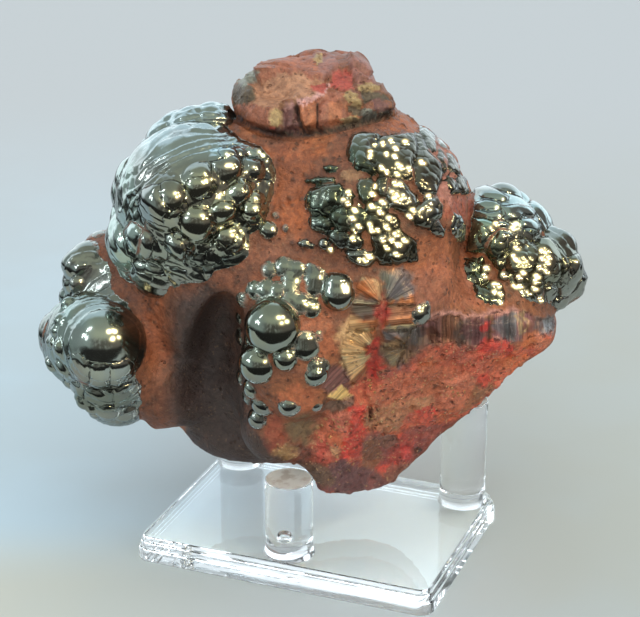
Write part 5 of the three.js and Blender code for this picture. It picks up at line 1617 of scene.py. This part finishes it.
def peg_mesh(name, x, y, top, bubble=None, seed=1):
    h = top - BASE_H
    n = 72
    rng = np.random.default_rng(seed)
    profile = [(PEG_R + PEG_FLARE, 0.0), (PEG_R + 0.42, 0.25), (PEG_R + 0.22, 0.9), (PEG_R + 0.08, 1.6), (PEG_R, 2.5)]
    for k in range(1, 9):
        profile.append((PEG_R, 2.5 + (h - 0.35 - 2.5) * k / 8))
    profile += [(PEG_R - 0.06, h - 0.16), (PEG_R - 0.2, h - 0.04), (PEG_R - 0.36, h)]
    rings = [[(x + r * math.cos(2 * math.pi * k / n), y + r * math.sin(2 * math.pi * k / n), BASE_H + z - (0.05 if z == 0 else 0)) for k in range(n)] for r, z in profile]
    verts, faces = [], []
    for r in rings:
        verts += r
    for i in range(len(rings) - 1):
        for k in range(n):
            a, b = i * n + k, i * n + (k + 1) % n
            faces.append((a, b, b + n, a + n))
    faces.append(tuple(reversed(range(n))))
    # the sawn top: rings of points with slight saw marks
    top_ring = (len(rings) - 1) * n
    last = list(range(top_ring, top_ring + n))
    for j in range(1, 12):
        rr = (PEG_R - 0.36) * (1 - j / 12)
        here = []
        for k in range(n):
            px, py = rr * math.cos(2 * math.pi * k / n), rr * math.sin(2 * math.pi * k / n)
            dz = 0.035 * math.sin(px * 7.0 + py * 2.0) + 0.02 * (rng.random() - 0.5)
            here.append(len(verts))
            verts.append((x + px, y + py, BASE_H + h - 0.05 + dz))
        for k in range(n):
            faces.append((last[k], last[(k + 1) % n], here[(k + 1) % n], here[k]))
        last = here
    middle = len(verts)
    verts.append((x, y, BASE_H + h - 0.05))
    top_from = len(rings[0]) * (len(rings) - 1) + 1
    for k in range(n):
        faces.append((last[k], last[(k + 1) % n], middle))
    if bubble:
        bx, by, bz, br = bubble
        m, o = 24, len(verts)
        for i in range(1, 12):
            a = math.pi * i / 12
            for k in range(m):
                p = 2 * math.pi * k / m
                verts.append((bx + br * math.sin(a) * math.cos(p), by + br * math.sin(a) * math.sin(p), bz + br * math.cos(a)))
        for i in range(10):
            for k in range(m):
                a, b = o + i * m + k, o + i * m + (k + 1) % m
                faces.append((a, b, b + m, a + m))
        t = len(verts)
        verts += [(bx, by, bz + br), (bx, by, bz - br)]
        for k in range(m):
            faces.append((t, o + (k + 1) % m, o + k))
            faces.append((t + 1, o + 10 * m + k, o + 10 * m + (k + 1) % m))
    mesh = bpy.data.meshes.new(name)
    mesh.from_pydata([tuple(c / 1000 for c in v) for v in verts], [], faces)
    mesh.update()
    smooth = np.ones(len(mesh.polygons), bool)
    slots = np.zeros(len(mesh.polygons), np.int32)
    slots[top_from : top_from + 12 * n] = 1
    mesh.polygons.foreach_set("use_smooth", smooth)
    mesh.polygons.foreach_set("material_index", slots)
    mesh.set_sharp_from_angle(angle=0.5)
    return mesh


def clear_material():
    mat, t, bsdf = material("clear_acrylic")
    pos = t.add("ShaderNodeTexCoord").outputs["Object"]
    bsdf.inputs["Base Color"].default_value = (0.985, 0.99, 0.99, 1)
    bsdf.inputs["Transmission Weight"].default_value = 1.0
    bsdf.inputs["IOR"].default_value = 1.49
    smear = t.noise(pos, 90.0, 4.0, 0.6)
    t.tree.links.new(t.remap(smear, 0.45, 0.8, 0.012, 0.07), bsdf.inputs["Roughness"])
    wave = t.noise(pos, 60.0, 2.0)
    bump = t.add("ShaderNodeBump", {"Height": wave, "Strength": 0.05, "Distance": 0.0006})
    t.tree.links.new(bump.outputs[0], bsdf.inputs["Normal"])
    return mat


def sawn_material():
    mat, t, bsdf = material("sawn_acrylic")
    pos = t.add("ShaderNodeTexCoord").outputs["Object"]
    stain = t.noise(pos, 260.0, 3.0, 0.6)
    colour = t.mix(t.remap(stain, 0.42, 0.62), rgb(236, 222, 206), rgb(196, 172, 150))
    t.tree.links.new(colour, bsdf.inputs["Base Color"])
    bsdf.inputs["Transmission Weight"].default_value = 0.62
    bsdf.inputs["IOR"].default_value = 1.49
    t.tree.links.new(t.remap(stain, 0.3, 0.7, 0.42, 0.62), bsdf.inputs["Roughness"])
    bump = t.add("ShaderNodeBump", {"Height": t.noise(pos, 1800.0, 3.0), "Strength": 0.4, "Distance": 0.0002})
    t.tree.links.new(bump.outputs[0], bsdf.inputs["Normal"])
    return mat


clear, sawn = clear_material(), sawn_material()


def show(mesh, name, node, slots):
    obj = bpy.data.objects.new(name, mesh)
    bpy.context.scene.collection.objects.link(obj)
    for m in slots:
        mesh.materials.append(m)
    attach(obj, "root")
    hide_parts(node)
    return obj


plate = base_plate()
show(plate, "base_plate_clear", "stand_base", [clear])
for i, (name, node, x, y, top) in enumerate(PEGS):
    bubble = (0.6, -26.6, 13.6, 1.9) if i == 0 else None
    show(peg_mesh(name, x, y, top, bubble, 20 + i), name, node, [clear, sawn])


# ------------------------------------------------------------------ floor, light and camera
def rows(v):
    return Matrix.Rotation(TURN, 3, "Z") @ Vector(v)


def floor_piece(name, quads, z=-0.0002):
    """Rectangles in the stone's axes, in metres."""
    mesh = bpy.data.meshes.new(name)
    corners, faces = [], []
    for x0, x1, y0, y1 in quads:
        faces.append(tuple(len(corners) + k for k in range(4)))
        corners += [tuple(rows((x, y, z))) for x, y in ((x0, y0), (x1, y0), (x1, y1), (x0, y1))]
    mesh.from_pydata(corners, [], faces)
    mesh.update()
    obj = bpy.data.objects.new(name, mesh)
    bpy.context.scene.collection.objects.link(obj)
    return obj


def floor_material():
    mat, t, bsdf = material("floor")
    pos = t.add("ShaderNodeNewGeometry").outputs["Position"]
    turned = t.add("ShaderNodeVectorRotate", {"Vector": pos, "Angle": -TURN}, rotation_type="Z_AXIS").outputs[0]
    sep = t.add("ShaderNodeSeparateXYZ", {0: turned})
    x, y = sep.outputs[0], sep.outputs[1]
    far = t.remap(y, 0.0, 0.5)
    # the floor is painted paler and bluer to the left of the stand: painted light that fills the stone's shadow there
    left = t.remap(x, 0.01, -0.07)
    near = t.mix(t.remap(x, 0.07, 0.0), rgb(182, 187, 180), rgb(196, 203, 204))
    near = t.mix(left, near, t.mix(t.remap(y, 0.012, -0.03), rgb(192, 214, 225), rgb(200, 203, 192)))
    cloud = t.noise(pos, 9.0, 3.0)
    near = t.mix(t.math("MULTIPLY", t.remap(cloud, 0.4, 0.6), 0.35), near, rgb(184, 196, 198))
    colour = t.mix(far, near, rgb(190, 196, 199))
    t.tree.links.new(colour, bsdf.inputs["Base Color"])
    bsdf.inputs["Roughness"].default_value = 0.85
    bsdf.inputs["Specular IOR Level"].default_value = 0.2
    return mat


floor_mat = floor_material()
X0, X1, Y0, Y1 = -0.30, 0.30, -0.095, 0.60
near_floor = floor_piece("floor", [(X0, X1, Y0, Y1)])
far_floor = floor_piece("floor_beyond", [(-4, X0, -4, 6), (X1, 4, -4, 6), (X0, X1, -4, Y0), (X0, X1, Y1, 6)])
far_floor.visible_glossy = False
for f in (near_floor, far_floor):
    f.data.materials.append(floor_mat)

world = bpy.data.worlds.new("studio")
bpy.context.scene.world = world
world.use_nodes = True
world.node_tree.nodes.clear()
t = Nodes(world.node_tree)
out = t.add("ShaderNodeOutputWorld")
way = t.add("ShaderNodeVectorRotate", {"Vector": t.add("ShaderNodeTexCoord").outputs["Generated"], "Angle": -TURN}, rotation_type="Z_AXIS").outputs[0]
sep = t.add("ShaderNodeSeparateXYZ", {0: way})
x, y, z = sep.outputs
path = t.add("ShaderNodeLightPath")
# what the mirror-bright knobs see of the room
clutter = t.noise(t.add("ShaderNodeVectorMath", {0: way, 1: (9.0, 9.0, 3.2)}, operation="MULTIPLY").outputs[0], 1.0, 2.0, 0.6)
low = t.mix(t.remap(clutter, 0.48, 0.64), (0.13, 0.125, 0.11, 1), (0.44, 0.46, 0.43, 1))
room = t.mix(t.remap(z, 0.34, 0.62), low, (0.60, 0.65, 0.52, 1))
room = t.mix(t.remap(z, 0.70, 0.95), room, (0.44, 0.49, 0.42, 1))
room = t.mix(t.remap(x, -0.35, -0.85), room, (0.44, 0.54, 0.54, 1))
room = t.mix(t.remap(x, 0.25, 0.70), room, (0.20, 0.175, 0.16, 1))
sky = t.mix(t.remap(z, 0.70, 0.35), (1.0, 1.22, 1.35, 1), (1.6, 1.85, 2.0, 1))
room = t.mix(t.remap(y, 0.28, 0.55), room, sky)
room = t.mix(t.remap(z, 0.0, -0.2), room, (0.03, 0.03, 0.03, 1))
# the soft light of the studio: a pale dome with a broad brighter part above the camera
dome = t.remap(z, -0.2, 1.0, 0.42, 0.92, "LINEAR")
toward = t.add("ShaderNodeVectorMath", {0: way, 1: (0.25, -0.72, 0.65)}, operation="DOT_PRODUCT").outputs["Value"]
dome = t.math("ADD", dome, t.remap(toward, 0.45, 0.95, 0.0, 1.15))
dome = t.mix(1.0, t.add("ShaderNodeCombineColor", {0: dome, 1: dome, 2: dome}).outputs[0], (0.97, 1.0, 1.01, 1), "MULTIPLY")
pale = t.mix(t.remap(z, 0.0, 0.5), (0.56, 0.61, 0.64, 1), (0.55, 0.62, 0.65, 1))
through = t.mix(t.remap(z, 0.45, 0.7), pale, (4.6, 5.1, 5.5, 1))
shown = t.mix(path.outputs["Is Glossy Ray"], dome, room)
shown = t.mix(path.outputs["Is Transmission Ray"], shown, through)
shown = t.mix(path.outputs["Is Camera Ray"], shown, pale)
bg = t.add("ShaderNodeBackground", {"Color": shown, "Strength": 1.0})
world.node_tree.links.new(bg.outputs[0], out.inputs[0])


def lamp(name, az, el, dist, size, power, colour, shape="DISK", size_y=None, target=(0, 0, 0.07)):
    """A light at an azimuth to the right of the camera and an elevation, as seen from the stone."""
    data = bpy.data.lights.new(name, "AREA")
    data.shape = shape
    data.size = size
    if size_y:
        data.size_y = size_y
    data.energy = power
    data.color = colour
    obj = bpy.data.objects.new(name, data)
    bpy.context.scene.collection.objects.link(obj)
    a, e = math.radians(az), math.radians(el)
    d = rows((math.sin(a) * math.cos(e), -math.cos(a) * math.cos(e), math.sin(e)))
    obj.location = rows(target) + d * dist
    obj.rotation_mode = "QUATERNION"
    obj.rotation_quaternion = d.to_track_quat("Z", "Y")
    obj.visible_camera = False
    return obj


warm = (1.0, 0.80, 0.44)
for i, (az, el) in enumerate(((30, 48), (54, 45), (36, 27), (58, 24))):
    lamp("warm_%d" % i, az, el, 0.8, 0.03, 1.3, warm).visible_diffuse = False
cool = (0.86, 0.94, 1.0)
for i, (az, el) in enumerate(((-58, 20), (-66, 24), (-75, 19), (-69, 42))):
    lamp("window_%d" % i, az, el, 0.8, 0.022, 0.25, cool, "RECTANGLE", 0.15).visible_diffuse = False

camera = bpy.data.cameras.new("camera")
camera.lens = FOCAL * 36 / 640
camera.sensor_width = 36
camera.clip_start, camera.clip_end = 0.05, 20
cam = bpy.data.objects.new("camera", camera)
bpy.context.scene.collection.objects.link(cam)
right = rows((1, 0, 0))
up, fwd = rows(UP), rows(FWD)
pos = rows(EYE / 1000)
cam.matrix_world = Matrix(((right.x, up.x, -fwd.x, pos.x), (right.y, up.y, -fwd.y, pos.y), (right.z, up.z, -fwd.z, pos.z), (0, 0, 0, 1)))
scene = bpy.context.scene
scene.camera = cam
scene.view_settings.view_transform = "Standard"
scene.view_settings.exposure = 0.0
scene.cycles.use_denoising = True
scene.cycles.max_bounces = 16
scene.cycles.glossy_bounces = 12

# the brightest glints spread a little, as they do in a lens
scene.use_nodes = True
tree = scene.node_tree
tree.nodes.clear()
layers = tree.nodes.new("CompositorNodeRLayers")
glare = tree.nodes.new("CompositorNodeGlare")
glare.glare_type = "BLOOM"
for key, value in (("Threshold", 1.6), ("Maximum", 40.0), ("Clamp", True), ("Strength", 0.25), ("Size", 0.10)):
    glare.inputs[key].default_value = value
blur = tree.nodes.new("CompositorNodeBlur")
blur.filter_type = "GAUSS"
blur.size_x = blur.size_y = 3
add = tree.nodes.new("CompositorNodeMixRGB")
add.blend_type = "ADD"
add.inputs[0].default_value = 1.0
final = tree.nodes.new("CompositorNodeComposite")
tree.links.new(layers.outputs["Image"], glare.inputs["Image"])
tree.links.new(glare.outputs["Highlights"], blur.inputs["Image"])
tree.links.new(glare.outputs["Image"], add.inputs[1])
tree.links.new(blur.outputs["Image"], add.inputs[2])
tree.links.new(add.outputs["Image"], final.inputs["Image"])
